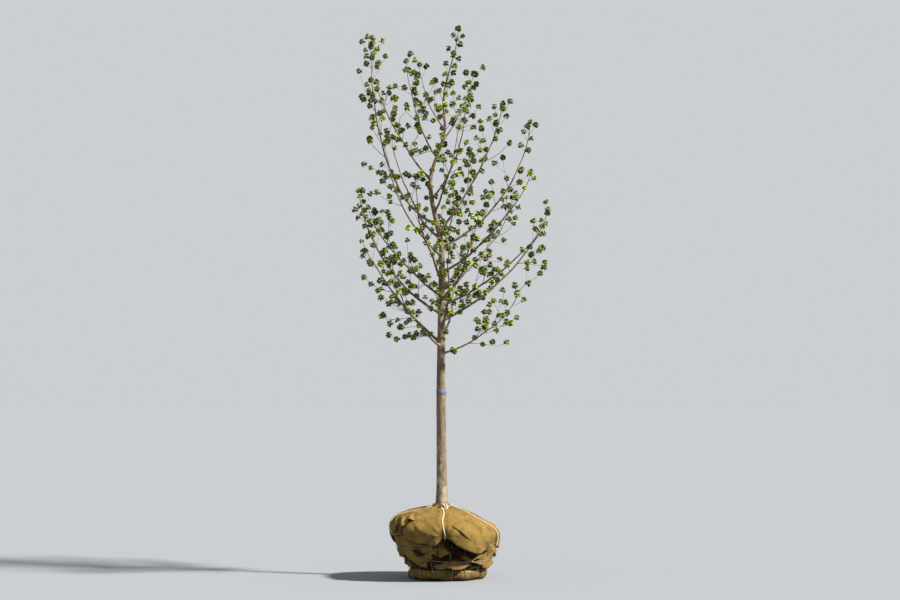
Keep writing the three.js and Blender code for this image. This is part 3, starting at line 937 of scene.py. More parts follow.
def leaf_bag(rows):
    bag = Bag()
    for base, stalk, x, y, zax, blade, kind, m, _ in rows:
        v, t = TEMPLATES[kind]
        w = base + stalk + (v[:, :1] * x + v[:, 1:2] * y + v[:, 2:3] * zax) * blade
        bag.add(w, None, t, mat=m)
        # stalk: a thin three-sided strip
        rr = 0.00075
        ring = [rr * x, rr * (-0.5 * x + 0.8 * zax), rr * (-0.5 * x - 0.8 * zax)]
        sv = np.array([base + k for k in ring] + [base + stalk + y * blade * 0.05 + k * 0.8 for k in ring])
        st = np.array([(0, 1, 4), (0, 4, 3), (1, 2, 5), (1, 5, 4), (2, 0, 3), (2, 3, 5)])
        bag.add(sv, None, st, mat=m)
    return bag


# which masses each piece stands for: by side of the crown
FOLIAGE_NODES = [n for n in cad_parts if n.startswith("foliage_")]
centres = {}
for n in FOLIAGE_NODES:
    a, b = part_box(n)
    centres[n] = (np.array(a) + np.array(b)) / 2
sector = lambda q: (0 if q[0] < -0.03 else 1) + (0 if q[1] < 0.9 * abs(q[0] + 0.03) - 0.02 else 2)
groups = {0: [], 1: [], 2: [], 3: []}
for row in leaf_rows:
    groups[sector(row[0])].append(row)
for g, label in enumerate(("left", "right", "back_left", "back_right")):
    bag = leaf_bag(groups[g])
    print("leaves", label, bag.faces())
    o = bag.make("leaves_" + label, LEAVES, smooth_faces=True)
    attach(o, "root")
    mine = [n for n in FOLIAGE_NODES if sector(centres[n]) == g]
    if mine:
        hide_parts(*mine)
o = twig_bag.make("twigs", TWIGS)
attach(o, "root")

# ------------------------------------------------------------------ burlap, rope, wire and ribbon
def burlap_material(name):
    """Coarse woven jute: the two thread directions run along the UV axes, which are in metres."""
    m = bpy.data.materials.new(name)
    m.use_nodes = True
    nt = m.node_tree
    L = nt.links.new
    bsdf = nt.nodes["Principled BSDF"]
    bsdf.inputs["Specular IOR Level"].default_value = 0.12
    bsdf.inputs["Roughness"].default_value = 0.92
    co = node(nt, "ShaderNodeTexCoord")
    uv = node(nt, "ShaderNodeSeparateXYZ")
    L(co.outputs["UV"], uv.inputs[0])

    def math_node(op, a, b=None, c=None):
        n = node(nt, "ShaderNodeMath", operation=op)
        for k, v in enumerate((a, b, c)):
            if v is None:
                continue
            if isinstance(v, (int, float)):
                n.inputs[k].default_value = v
            else:
                L(v, n.inputs[k])
        return n.outputs[0]

    # threads wander a little
    warp = node(nt, "ShaderNodeTexNoise", Scale=38.0, Detail=3.0)
    L(co.outputs["UV"], warp.inputs["Vector"])
    wob = math_node("MULTIPLY_ADD", warp.outputs["Fac"], 0.004, -0.002)
    pitch = 2 * math.pi / 0.0042  # two threads to 4.2 mm
    u = math_node("MULTIPLY", math_node("ADD", uv.outputs["X"], wob), pitch)
    v = math_node("MULTIPLY", math_node("ADD", uv.outputs["Y"], wob), pitch)
    cu, cv = math_node("COSINE", u), math_node("COSINE", v)
    over = math_node("MULTIPLY", cu, cv)  # which thread lies on top
    round_u = math_node("ABSOLUTE", math_node("SINE", u))
    round_v = math_node("ABSOLUTE", math_node("SINE", v))
    gap = math_node("MULTIPLY", round_u, round_v)
    weave = math_node("ADD", math_node("MULTIPLY", over, 0.35), gap)

    # slubs: uneven threads, long along each direction
    def slubs(sx, sy):
        mp = node(nt, "ShaderNodeMapping")
        mp.inputs["Scale"].default_value = (sx, sy, 1)
        L(co.outputs["UV"], mp.inputs["Vector"])
        n = node(nt, "ShaderNodeTexNoise", Scale=1.0, Detail=2.0)
        L(mp.outputs["Vector"], n.inputs["Vector"])
        return n.outputs["Fac"]

    slub = math_node("ADD", slubs(420.0, 26.0), slubs(26.0, 420.0))
    patch = node(nt, "ShaderNodeTexNoise", Scale=7.0, Detail=5.0, Roughness=0.6)
    L(co.outputs["Object"], patch.inputs["Vector"])
    tone = math_node("MULTIPLY_ADD", slub, 0.42, math_node("MULTIPLY_ADD", gap, 0.16, math_node("MULTIPLY", patch.outputs["Fac"], 0.34)))
    ramp = node(nt, "ShaderNodeValToRGB")
    e = ramp.color_ramp.elements
    e[0].position, e[0].color = 0.38, (0.062, 0.038, 0.010, 1)
    e[1].position, e[1].color = 0.86, (0.208, 0.138, 0.040, 1)
    e.new(0.58).color = (0.130, 0.081, 0.0185, 1)
    L(tone, ramp.inputs["Fac"])
    # soil stains, heavier near the ground, and painted shade in creases, hollows and under the hem, read from a point
    # attribute
    place = node(nt, "ShaderNodeSeparateXYZ")
    L(co.outputs["Object"], place.inputs[0])
    stain = node(nt, "ShaderNodeTexNoise", Scale=11.0, Detail=6.0, Roughness=0.68)
    L(co.outputs["Object"], stain.inputs["Vector"])
    low = node(nt, "ShaderNodeMapRange")
    for k, x in (("From Min", 0.0), ("From Max", 0.22), ("To Min", 0.62), ("To Max", 0.0)):
        low.inputs[k].default_value = x
    L(place.outputs["Z"], low.inputs["Value"])
    much = node(nt, "ShaderNodeMapRange")
    for k, x in (("From Min", 0.50), ("From Max", 0.82), ("To Min", 0.0), ("To Max", 0.92)):
        much.inputs[k].default_value = x
    # painted shade: this point attribute darkens the cloth towards the near-black colour below in creases, hollows and
    # under the hem
    creases = node(nt, "ShaderNodeAttribute", attribute_name="damp")
    low_part = math_node("MULTIPLY", low.outputs["Result"], 0.18)
    L(math_node("ADD", stain.outputs["Fac"], math_node("MULTIPLY_ADD", creases.outputs["Fac"], 0.44, low_part)), much.inputs["Value"])
    # near-black colour for both soil stains and painted shade
    soil_and_shade_mix = node(nt, "ShaderNodeMix", data_type="RGBA")
    soil_and_shade_mix.inputs[7].default_value = (0.014, 0.0088, 0.0038, 1)
    L(much.outputs["Result"], soil_and_shade_mix.inputs["Factor"])
    L(ramp.outputs["Color"], soil_and_shade_mix.inputs[6])
    L(soil_and_shade_mix.outputs[2], bsdf.inputs["Base Color"])
    crumple = node(nt, "ShaderNodeTexNoise", Scale=46.0, Detail=4.0, Roughness=0.55)
    L(co.outputs["Object"], crumple.inputs["Vector"])
    height = math_node("MULTIPLY_ADD", crumple.outputs["Fac"], 1.6, math_node("MULTIPLY_ADD", weave, 0.55, math_node("MULTIPLY", slub, 0.35)))
    bump = node(nt, "ShaderNodeBump")
    bump.inputs["Strength"].default_value = 0.75
    bump.inputs["Distance"].default_value = 0.0016
    L(height, bump.inputs["Height"])
    L(bump.outputs["Normal"], bsdf.inputs["Normal"])
    return m


def fibre_material(name, pale, dark, scale, roughness=0.85, bump_size=0.0008):
    """Twine or ribbon: fine uneven fibres between two tones."""
    m = bpy.data.materials.new(name)
    m.use_nodes = True
    nt = m.node_tree
    L = nt.links.new
    bsdf = nt.nodes["Principled BSDF"]
    bsdf.inputs["Roughness"].default_value = roughness
    bsdf.inputs["Specular IOR Level"].default_value = 0.2
    co = node(nt, "ShaderNodeTexCoord")
    fine = node(nt, "ShaderNodeTexNoise", Scale=scale, Detail=4.0, Roughness=0.6)
    L(co.outputs["Object"], fine.inputs["Vector"])
    ramp = node(nt, "ShaderNodeValToRGB")
    e = ramp.color_ramp.elements
    e[0].position, e[0].color = 0.34, (*dark, 1)
    e[1].position, e[1].color = 0.62, (*pale, 1)
    L(fine.outputs["Fac"], ramp.inputs["Fac"])
    L(ramp.outputs["Color"], bsdf.inputs["Base Color"])
    bump = node(nt, "ShaderNodeBump")
    bump.inputs["Strength"].default_value = 0.6
    bump.inputs["Distance"].default_value = bump_size
    L(fine.outputs["Fac"], bump.inputs["Height"])
    L(bump.outputs["Normal"], bsdf.inputs["Normal"])
    return m


BURLAP = burlap_material("burlap")
ROPE = fibre_material("rope_cream", (0.48, 0.385, 0.255), (0.24, 0.17, 0.090), 420.0)
WIRE = fibre_material("wire_dull", (0.30, 0.30, 0.27), (0.14, 0.125, 0.105), 160.0, 0.48, 0.0003)
WIRE.node_tree.nodes["Principled BSDF"].inputs["Metallic"].default_value = 0.55
RIBBON = fibre_material("ribbon_violet", (0.098, 0.107, 0.214), (0.060, 0.066, 0.142), 90.0, 0.55, 0.0006)


# ------------------------------------------------------------------ root ball: its shape, as the frame has it
BALL_HEIGHT = 0.530
SHOULDER_LIFT, SHOULDER_SHIFT, SIDE_SHIFT, NECK_SHIFT = 0.042, -0.012, 0.014, -0.018
LUMPS = ((0.012, 2, 35, 40), (0.014, 3, 80, -70), (0.012, 5, 20, 110), (0.010, 8, 140, -160))
# radius and height, from the neck round the stem down to the foot
BALL_OUTLINE = np.array(
    [
        (0.055, 0.558), (0.058, 0.545), (0.070, 0.534), (0.115, 0.523), (0.190, 0.499), (0.285, 0.467), (0.358, 0.430),
        (0.391, 0.388), (0.395, 0.345), (0.375, 0.265), (0.345, 0.190), (0.311, 0.118), (0.280, 0.056), (0.262, 0.018), (0.252, 0.002),
    ]
)
turns = lambda phi: phi / (2 * np.pi)


def spline(points, n):
    """A smooth line through points, evenly spaced along its length."""
    p = np.vstack([2 * points[0] - points[1], points, 2 * points[-1] - points[-2]])
    out = []
    t = np.linspace(0, 1, 24, endpoint=False)[:, None]
    for i in range(1, len(p) - 2):
        a, b, c, d = p[i - 1], p[i], p[i + 1], p[i + 2]
        out.append(0.5 * (2 * b + (c - a) * t + (2 * a - 5 * b + 4 * c - d) * t**2 + (3 * b - a - 3 * c + d) * t**3))
    q = np.vstack(out + [points[-1:]])
    s = along(q)
    at = np.linspace(0, s[-1], n)
    return at, np.stack([np.interp(at, s, q[:, k]) for k in range(q.shape[1])], -1)


OUT_S, OUT_RZ = spline(BALL_OUTLINE, 900)  # distance down the outline, and its radius and height


def s_of(z):
    """Distance down the outline at height z."""
    return np.interp(-np.asarray(z, float), -OUT_RZ[:, 1], OUT_S)


def ball_lift(phi, r, z):
    return -SHOULDER_LIFT * np.sin(phi) * smooth(0.040, 0.428, z) * smooth(0.060, 0.396, r)


def ball_place(phi, s):
    """Place on the ball; phi is 0 at the front and grows towards +X, s is the distance down from the neck."""
    r, z = np.interp(s, OUT_S, OUT_RZ[:, 0]), np.interp(s, OUT_S, OUT_RZ[:, 1])
    share = 1.0
    for amount, waves, phase, twist in LUMPS:
        share = share + amount * np.sin(waves * (phi - np.pi / 2) + np.radians(phase + twist * z / BALL_HEIGHT))
    x = r * share * np.sin(phi) + SHOULDER_SHIFT * smooth(0, 0.358, z) + SIDE_SHIFT * np.sin(np.pi * np.clip(z / 0.30, 0, 1)) + NECK_SHIFT * (1 - smooth(0.07, 0.26, r)) * (z > 0.3)
    return np.stack([x, -r * share * np.cos(phi), z + ball_lift(phi, r, z)], -1)


def ring_diff(P):
    return (np.roll(P, -1, 1) - np.roll(P, 1, 1)) / 2


def surface_frame(P):
    """Outward normal and downward direction on a grid whose rows run down and whose columns go round."""
    down = unit_rows(np.gradient(P, axis=0))
    n = unit_rows(np.cross(ring_diff(P), down))
    if np.mean(np.einsum("ijk,ijk->ij", n, P - P.mean((0, 1)))) < 0:
        n = -n
    return n, down


def turn_gap(a, b):
    return np.mod(a - b + np.pi, 2 * np.pi) - np.pi


def round_table(rows, phi, soften=0.03):
    """Values given at angles in degrees, joined smoothly all the way round."""
    rows = sorted(rows)
    a = np.radians([r[0] for r in rows])
    fine = np.linspace(-np.pi, np.pi, 1441)[:-1]
    out = []
    k = np.exp(-0.5 * (np.arange(-60, 61) * (2 * np.pi / 1440) / soften) ** 2)
    k /= k.sum()
    for c in range(1, len(rows[0])):
        v = np.interp(fine, a, [r[c] for r in rows], period=2 * np.pi)
        v = np.convolve(np.concatenate([v[-60:], v, v[:60]]), k, "valid")
        out.append(np.interp(phi, fine, v, period=2 * np.pi))
    return out


def hanging_fold(PHI, S, fold):
    """Relief of one drooping fold: how far out it stands and how far it slides down, on the whole grid."""
    p0, z0, p1, z1, sag, out, above, below, droop = fold
    p0, p1 = math.radians(p0), math.radians(p1)
    mid, half = (p0 + p1) / 2, (p1 - p0) / 2
    t = turn_gap(PHI, mid) / half
    inside_it = np.clip(1 - t**2, 0, 1)
    share = (t + 1) / 2
    z = z0 + (z1 - z0) * np.clip(share, 0, 1) - sag * inside_it
    r = np.interp(s_of(z), OUT_S, OUT_RZ[:, 0])
    v = S - s_of(z - ball_lift(PHI, r, z))
    env = inside_it**0.6
    shape = np.where(v < 0, np.exp(-((v / above) ** 2)), np.exp(-((v / below) ** 2)))
    pocket = np.exp(-(((v - 2.1 * below) / (1.3 * below)) ** 2))
    slide = np.exp(-(((v + 0.3 * above) / (0.8 * above)) ** 2))
    return env * out * (shape - 0.45 * pocket), env * droop * slide


def pinch(PHI, S, phi0, s0, depth, reach, rays, seed, wide=0.37):
    """Creases that run out from a point where the cloth is tied in."""
    dx, dy = turn_gap(PHI, phi0) * wide, S - s0
    dist = np.hypot(dx, dy)
    ang = np.arctan2(dy, dx)
    rng = np.random.default_rng(seed)
    folds = np.cos(rays * ang + rng.uniform(0, 6.28)) * 0.7 + np.cos((rays + 3) * ang + rng.uniform(0, 6.28)) * 0.4
    amp = depth * np.exp(-dist / reach) * (1 - np.exp(-((dist / 0.02) ** 2)))
    return amp * folds * 0.6 - depth * np.exp(-((dist / 0.035) ** 2))


def ring_mesh(name, rings, materials, uv=None, close_top=False, close_bottom=False, damp=None):
    """A mesh from a grid of rings; the last argument is how dark each point is painted: painted shade in hollows,
    creases and under the hem, and darkening near the foot.
    """
    rows, cols = rings.shape[:2]
    v = rings.reshape(-1, 3)
    i = np.arange(rows - 1)[:, None]
    j = np.arange(cols)[None]
    k = (j + 1) % cols
    quads = np.stack([i * cols + j, (i + 1) * cols + j, (i + 1) * cols + k, i * cols + k], -1).reshape(-1, 4)
    tris = []
    if close_top:
        v = np.vstack([v, rings[0].mean(0)])
        tris.append(np.stack([j[0], k[0], np.full(cols, len(v) - 1)], -1))
    if close_bottom:
        v = np.vstack([v, rings[-1].mean(0)])
        base = (rows - 1) * cols
        tris.append(np.stack([base + k[0], base + j[0], np.full(cols, len(v) - 1)], -1))
    tris = np.concatenate(tris) if tris else None
    if uv is not None:
        uv = uv.reshape(-1, 2)
        uv = np.vstack([uv, np.tile(uv.mean(0), (len(v) - len(uv), 1))])
    o = mesh_of(name, v, quads, tris, materials, uv=uv)
    if damp is not None:
        layer = o.data.attributes.new("damp", "FLOAT", "POINT")
        # the caps' middle points are painted fully dark, as painted shade
        damp = np.concatenate([damp.ravel(), np.ones(len(v) - damp.size)])
        layer.data.foreach_set("value", damp.astype(np.float32))
    return o


# ------------------------------------------------------------------ the sheath's upper part: from the neck to a hem that stands off
# angle in degrees from the front towards +X, height of the hem, how far it stands off
HEM = (
    (0, 0.352, 0.006), (5, 0.336, 0.024), (11, 0.302, 0.038), (17, 0.284, 0.042), (24, 0.260, 0.046), (33, 0.231, 0.046),
    (40, 0.227, 0.040), (47, 0.242, 0.032), (56, 0.238, 0.026), (66, 0.262, 0.018), (76, 0.285, 0.006), (88, 0.250, 0.014),
    (100, 0.232, 0.022), (114, 0.256, 0.026), (128, 0.300, 0.008), (141, 0.262, 0.028), (157, 0.240, 0.038), (171, 0.264, 0.030),
    (184, 0.312, 0.008), (196, 0.276, 0.030), (210, 0.252, 0.036), (221, 0.286, 0.026), (233, 0.328, 0.008), (245, 0.292, 0.020),
    (257, 0.276, 0.018), (271, 0.305, 0.012), (285, 0.366, 0.006), (297, 0.345, 0.014), (309, 0.366, 0.014), (316, 0.343, 0.032),
    (324, 0.325, 0.036), (333, 0.303, 0.034), (339, 0.309, 0.022), (344, 0.298, 0.034), (352, 0.291, 0.034), (357, 0.312, 0.018),
)
ROPES = (1, 78, 129, 184, 233, 283)  # where ropes run down from the neck
COLS = 330


def cape():
    phi = np.linspace(-np.pi, np.pi, COLS, endpoint=False)
    hem_z, stand = round_table(HEM, phi, 0.035)
    # small scallops along the hem
    hem_z = hem_z + 0.0045 * lattice_noise(turns(phi), np.zeros_like(phi), 38, 71) + 0.006 * lattice_noise(turns(phi), np.zeros_like(phi), 17, 72)
    r = np.interp(s_of(hem_z), OUT_S, OUT_RZ[:, 0])
    hem_s = s_of(hem_z - ball_lift(phi, r, hem_z))
    rows = 122
    v = np.linspace(0, 1, rows)[:, None]
    S = v * hem_s[None]
    PHI = np.repeat(phi[None], rows, 0)
    P = ball_place(PHI, S)
    n, down = surface_frame(P)
    T = turns(PHI)
    start = s_of(0.47)
    hang = smooth(0, 1, (S - start) / np.maximum(0.02, hem_s[None] - start))
    h = 0.002 + stand[None] * hang**1.35
    # the cloth is pressed in under the ropes and stands up between them
    ropes = sum(np.exp(-((turn_gap(PHI, math.radians(a)) * np.maximum(0.08, np.linalg.norm(P[..., :2], axis=-1)) / 0.020) ** 2)) for a in ROPES)
    dome = smooth(0.02, 0.12, S) * (1 - 0.6 * hang)
    h += dome * (0.007 * (1 - ropes) - 0.004 * ropes)
    # gathers at the neck, wide folds further out
    gather = 1 - np.abs(np.sin(PHI * 9 + 1.3 * np.sin(2 * PHI + 0.6))) ** 0.7
    h += 0.0065 * gather * np.exp(-(((S - 0.018) / 0.060) ** 2))
    wide = 1 - np.abs(np.sin(PHI * 5.5 + 0.9 * np.sin(3 * PHI + 1.1) + 0.5 * lattice_noise(T, S / 0.15, 5, 73))) ** 0.8
    h += 0.008 * wide * np.exp(-(((S - 0.12) / 0.10) ** 2))
    # creases that run up from where the hem is tied in
    for k, a in enumerate((0, 77, 128, 184, 233, 284, 309)):
        z0 = float(np.interp(math.radians(a if a <= 180 else a - 360), phi, hem_z))
        s0 = float(np.interp(math.radians(a if a <= 180 else a - 360), phi, hem_s))
        h += pinch(PHI, S, math.radians(a), s0 - 0.006, 0.012 if a in (0, 309) else 0.007, 0.085, 9, 500 + k)
    # soft upright folds that grow towards the hem
    up = lattice_noise(T, S / 0.30, 26, 74) * 0.6 + lattice_noise(T + 0.01 * np.sin(S * 12), S / 0.22, 44, 75) * 0.4
    h += 0.0065 * up * hang
    # soil lumps and small wrinkles
    h += 0.0040 * lattice_noise(T, S / 0.110, 20, 76) + 0.0016 * lattice_noise(T, S / 0.042, 54, 77) + 0.0006 * lattice_noise(T, S / 0.018, 120, 78)
    g = np.zeros_like(h)
    # a slot-like fold on the right of the front, and a few more round the ball
    for fold in (
        (8, 0.410, 27, 0.326, -0.002, 0.012, 0.015, 0.006, 0.010),
        (-34, 0.430, -14, 0.352, 0.006, 0.007, 0.030, 0.010, 0.006),
        (98, 0.400, 122, 0.330, 0.004, 0.010, 0.020, 0.007, 0.008),
        (148, 0.350, 172, 0.410, 0.006, 0.009, 0.026, 0.008, 0.008),
        (-166, 0.400, -138, 0.340, 0.006, 0.010, 0.022, 0.008, 0.009),
        (-118, 0.430, -92, 0.380, 0.006, 0.010, 0.020, 0.008, 0.008),
    ):
        a, b = hanging_fold(PHI, S, fold)
        h += a
        g += b
    Q = P + n * h[..., None] + down * g[..., None]
    Q[1:-1] = 0.5 * Q[1:-1] + 0.25 * (Q[:-2] + Q[2:])
    uv = np.stack([T * 2 * np.pi * 0.36, S], -1)
    # the hem rolls under and runs back to the skirt
    out, dn = surface_frame(Q)
    out, dn = out[-1], dn[-1]
    roll = 0.0085 + 0.0035 * lattice_noise(turns(phi), np.zeros_like(phi), 23, 79) + 0.10 * stand
    rows_under, run = [], 0.0
    uv_under = []
    for a in np.radians([14, 32, 52, 74, 98, 122]):
        rows_under.append(Q[-1] - out * (roll * (1 - np.cos(a)))[:, None] + dn * (roll * np.sin(a))[:, None])
        uv_under.append(uv[-1] + np.stack([0 * phi, roll * a], -1))
    far = 0.05 + 2.2 * stand
    for share in (0.15, 0.35, 0.6, 1.0):
        rows_under.append(rows_under[5] - (out * 0.80 + dn * 0.60) * (far * share)[:, None])
        uv_under.append(uv_under[5] + np.stack([0 * phi, far * share], -1))
    # the gathered edge at the neck turns in beside the stem
    top = []
    for dr, dz in ((-0.012, -0.014), (-0.0075, -0.003), (-0.0035, 0.001)):
        c = np.array([STEM_FOOT[0], 0.0])
        xy = Q[0, :, :2] - c
        far_out = np.linalg.norm(xy, axis=1)[:, None]
        top.append(np.concatenate([c + xy / far_out * (far_out + dr), Q[0, :, 2:] + dz], 1))
    rings = np.concatenate([np.array(top), Q, np.array(rows_under)])
    uv_all = np.concatenate([uv[:1] - (0, 0.02), uv[:1] - (0, 0.008), uv[:1] - (0, 0.004), uv, np.array(uv_under)])
    # painted shade: the cloth is darker where it dips below its stand-off, at the turned-in neck edge and over the
    # rolled underside of the hem
    damp = 0.45 * smooth(0.006, -0.010, h - 0.002 - stand[None] * hang**1.35) * hang
    damp = np.concatenate([np.full((3, COLS), 0.3), damp, np.repeat(np.array([0.1, 0.2, 0.4, 0.6, 0.8, 1, 1, 1, 1, 1.0])[:, None], COLS, 1)])
    o = ring_mesh("burlap_cape", rings, [BURLAP], uv_all, damp=damp)
    return o, phi, S, Q, hem_z, stand


# ------------------------------------------------------------------ the sheath's lower part: pockets, swags and the rolled foot
SWAGS = (
    # from angle and height, to angle and height, sag, out, slope above, slope below, droop
    (6, 0.214, 60, 0.240, 0.052, 0.040, 0.026, 0.010, 0.016),
    (-2, 0.128, 36, 0.156, 0.030, 0.036, 0.024, 0.009, 0.014),
    (30, 0.150, 76, 0.190, 0.030, 0.026, 0.026, 0.009, 0.012),
    (52, 0.120, 96, 0.150, 0.026, 0.022, 0.024, 0.009, 0.011),
    (-46, 0.258, -17, 0.268, 0.040, 0.026, 0.026, 0.010, 0.012),
    (-20, 0.215, -1, 0.205, 0.016, 0.022, 0.045, 0.008, 0.012),
    (-56, 0.200, -22, 0.080, 0.000, 0.028, 0.028, 0.012, 0.010),
    (-24, 0.130, 4, 0.110, 0.024, 0.018, 0.028, 0.010, 0.010),
    (-96, 0.240, -50, 0.210, 0.042, 0.017, 0.034, 0.013, 0.010),
    (-84, 0.150, -40, 0.130, 0.036, 0.014, 0.032, 0.013, 0.009),
    (74, 0.225, 118, 0.200, 0.046, 0.017, 0.034, 0.013, 0.010),
    (88, 0.130, 130, 0.145, 0.038, 0.014, 0.032, 0.013, 0.009),
    (114, 0.232, 160, 0.195, 0.042, 0.034, 0.028, 0.010, 0.014),
    (132, 0.140, 176, 0.115, 0.034, 0.028, 0.026, 0.009, 0.012),
    (160, 0.210, 206, 0.235, 0.048, 0.036, 0.028, 0.010, 0.015),
    (178, 0.115, 222, 0.140, 0.036, 0.028, 0.026, 0.009, 0.012),
    (204, 0.240, 248, 0.210, 0.042, 0.034, 0.030, 0.010, 0.014),
    (226, 0.130, 270, 0.145, 0.040, 0.026, 0.028, 0.009, 0.013),
)
# deep hollows: angle, height, how far they reach sideways in degrees and up in metres, slant, depth
HOLLOWS = (
    (10, 0.272, 12, 0.066, 0.0025, 0.082), (26, 0.228, 14, 0.030, 0.0016, 0.066), (2, 0.166, 21, 0.024, -0.0014, 0.070), (-13, 0.200, 6, 0.030, -0.0030, 0.032),
    (-37, 0.215, 8, 0.034, 0.0, 0.034), (-24, 0.105, 5, 0.034, 0.0, 0.026), (46, 0.126, 11, 0.014, 0.0008, 0.030), (68, 0.195, 6, 0.034, -0.0012, 0.008),
    (-66, 0.175, 10, 0.034, 0.0015, 0.026), (96, 0.165, 10, 0.028, 0.0015, 0.026), (126, 0.240, 9, 0.036, 0.0, 0.034), (150, 0.165, 13, 0.024, -0.0010, 0.040),
    (182, 0.250, 10, 0.038, 0.0, 0.040), (204, 0.165, 12, 0.026, 0.0010, 0.036), (232, 0.262, 9, 0.038, 0.0, 0.034), (254, 0.180, 11, 0.026, 0.0012, 0.026),
)
RINGS_Z = (0.072, 0.152, 0.246)  # the basket's level wires
UPRIGHTS = 15


def sunk(P, cols=12, rows=15):
    """How much less far out each point of a grid lies than the furthest point near it."""
    rad = np.linalg.norm(P[..., :2], axis=-1)
    best = rad
    for k in range(1, cols + 1):
        best = np.maximum(best, np.maximum(np.roll(rad, k, 1), np.roll(rad, -k, 1)))
    top = np.pad(best, ((rows, rows), (0, 0)), mode="edge")
    best = np.max([top[k:k + len(P)] for k in range(2 * rows + 1)], axis=0)
    return best - rad


def skirt(hem_phi, hem_z, stand):
    phi = np.linspace(-np.pi, np.pi, COLS, endpoint=False)
    top, foot = s_of(0.452), OUT_S[-1]
    rows = 182
    S = np.repeat(np.linspace(top, foot, rows)[:, None], COLS, 1)
    PHI = np.repeat(phi[None], rows, 0)
    P = ball_place(PHI, S)
    n, down = surface_frame(P)
    T = turns(PHI)
    h = -0.006 + 0.016 * np.abs(np.sin(PHI)) ** 3
    g = np.zeros_like(S)
    # drawn in under the hem
    hz = np.interp(phi, hem_phi, hem_z, period=2 * np.pi)
    st = np.interp(phi, hem_phi, stand, period=2 * np.pi)
    below = (hz[None] - P[..., 2])
    h -= (0.002 + 1.05 * st[None] * (1 - 0.6 * np.abs(np.sin(PHI)) ** 4)) * np.exp(-(((below - 0.012) / 0.040) ** 2))
    h -= 0.032 * (1 - smooth(-0.045, -0.008, below))
    # tied in where the ropes end
    for a in ROPES:
        h -= 0.012 * np.exp(-((turn_gap(PHI, math.radians(a)) / 0.11) ** 2)) * np.exp(-(((below + 0.012) / 0.030) ** 2))
    for a, z, wide, tall, slant, depth in HOLLOWS:
        d = np.degrees(turn_gap(PHI, math.radians(a)))
        h -= depth * np.exp(-((d / wide) ** 4)) * np.exp(-(np.abs((P[..., 2] - z + slant * d) / tall) ** 3))
    for fold in SWAGS:
        a, b = hanging_fold(PHI, S, fold)
        h += a
        g += b
    # upright folds, sharpest near the front left of the middle
    for centre, width, z0, z1, amp, pitch in (
        (-9, 9, 0.30, 0.185, 0.014, 4.6), (-30, 12, 0.19, 0.06, 0.012, 7.5), (20, 14, 0.10, 0.03, 0.008, 6.5), (66, 13, 0.24, 0.10, 0.009, 9.0),
        (104, 16, 0.19, 0.05, 0.012, 8.0), (150, 16, 0.20, 0.05, 0.012, 7.5), (196, 15, 0.19, 0.04, 0.012, 8.0), (240, 14, 0.21, 0.06, 0.012, 7.0),
        (282, 15, 0.24, 0.08, 0.009, 9.5),
    ):
        d = np.degrees(turn_gap(PHI, math.radians(centre)))
        ridge = 1 - np.abs(np.sin(np.pi * (d / pitch + 0.25 * lattice_noise(T, S / 0.10, 30, 81)))) ** 0.75
        h += 1.25 * amp * (ridge - 0.35) * np.exp(-((d / width) ** 2)) * smooth(z1 - 0.02, z1 + 0.02, P[..., 2]) * (1 - smooth(z0 - 0.02, z0 + 0.03, P[..., 2]))
    # bulges between the level wires
    for z in RINGS_Z:
        h -= 0.007 * np.exp(-(((P[..., 2] - z) / 0.013) ** 2))
    # the rolled foot
    foot_noise = lattice_noise(T, np.zeros_like(T), 14, 82)
    zf = 0.036 + 0.008 * foot_noise
    h += 0.015 * np.exp(-(((P[..., 2] - zf) / 0.026) ** 2)) - 0.014 * np.exp(-(((P[..., 2] - zf - 0.052) / 0.018) ** 2))
    h += 0.0045 * lattice_noise(T, S / 0.050, 40, 83) * (1 - smooth(0.05, 0.10, P[..., 2]))
    # the shaded side draws in more towards the foot
    h -= 0.016 * np.clip(-np.sin(PHI), 0, 1) * np.exp(-(((P[..., 2] - 0.10) / 0.10) ** 2))
    # lumps and wrinkles
    h += 0.0055 * lattice_noise(T, S / 0.100, 22, 84) + 0.0028 * lattice_noise(T, S / 0.040, 50, 85) + 0.0010 * lattice_noise(T, S / 0.018, 110, 86)
    Q = P + n * h[..., None] + down * g[..., None]
    # flat where it stands
    Q[..., 2] = np.maximum(Q[..., 2], 0.0008)
    Q[-1, :, 2] = 0.0008
    uv = np.stack([T * 2 * np.pi * 0.34 + 0.7, S * 1.0], -1)
    # painted shade where the cloth lies deeper than what is round it and where it is drawn in, and darker in the last 3
    # cm above the floor
    pocket = sunk(Q) - sunk(P)
    damp = np.clip(smooth(0.006, 0.031, pocket) + smooth(-0.010, -0.050, h) * 0.6 + 0.5 * smooth(0.030, 0.002, P[..., 2]), 0, 1)
    o = ring_mesh("burlap_skirt", Q, [BURLAP], uv, close_top=True, close_bottom=True, damp=damp)
    return o, phi, Q


# ------------------------------------------------------------------ ropes, wires and the knot
def grid_at(Q, phi_row, phi, row):
    """Places on a grid at angles phi and fractional rows."""
    c = np.mod(phi - phi_row[0], 2 * np.pi) / (2 * np.pi) * len(phi_row)
    r = np.clip(row, 0, len(Q) - 1.001)
    i, j = np.floor(r).astype(int), np.floor(c).astype(int)
    fr, fc = (r - i)[:, None], (c - j)[:, None]
    j0, j1 = j % Q.shape[1], (j + 1) % Q.shape[1]
    return (Q[i, j0] * (1 - fr) + Q[i + 1, j0] * fr) * (1 - fc) + (Q[i, j1] * (1 - fr) + Q[i + 1, j1] * fr) * fc


def even(p, step):
    s = along(p)
    n = max(4, int(s[-1] / step))
    at = np.linspace(0, s[-1], n)
    return np.stack([np.interp(at, s, p[:, k]) for k in range(3)], -1)


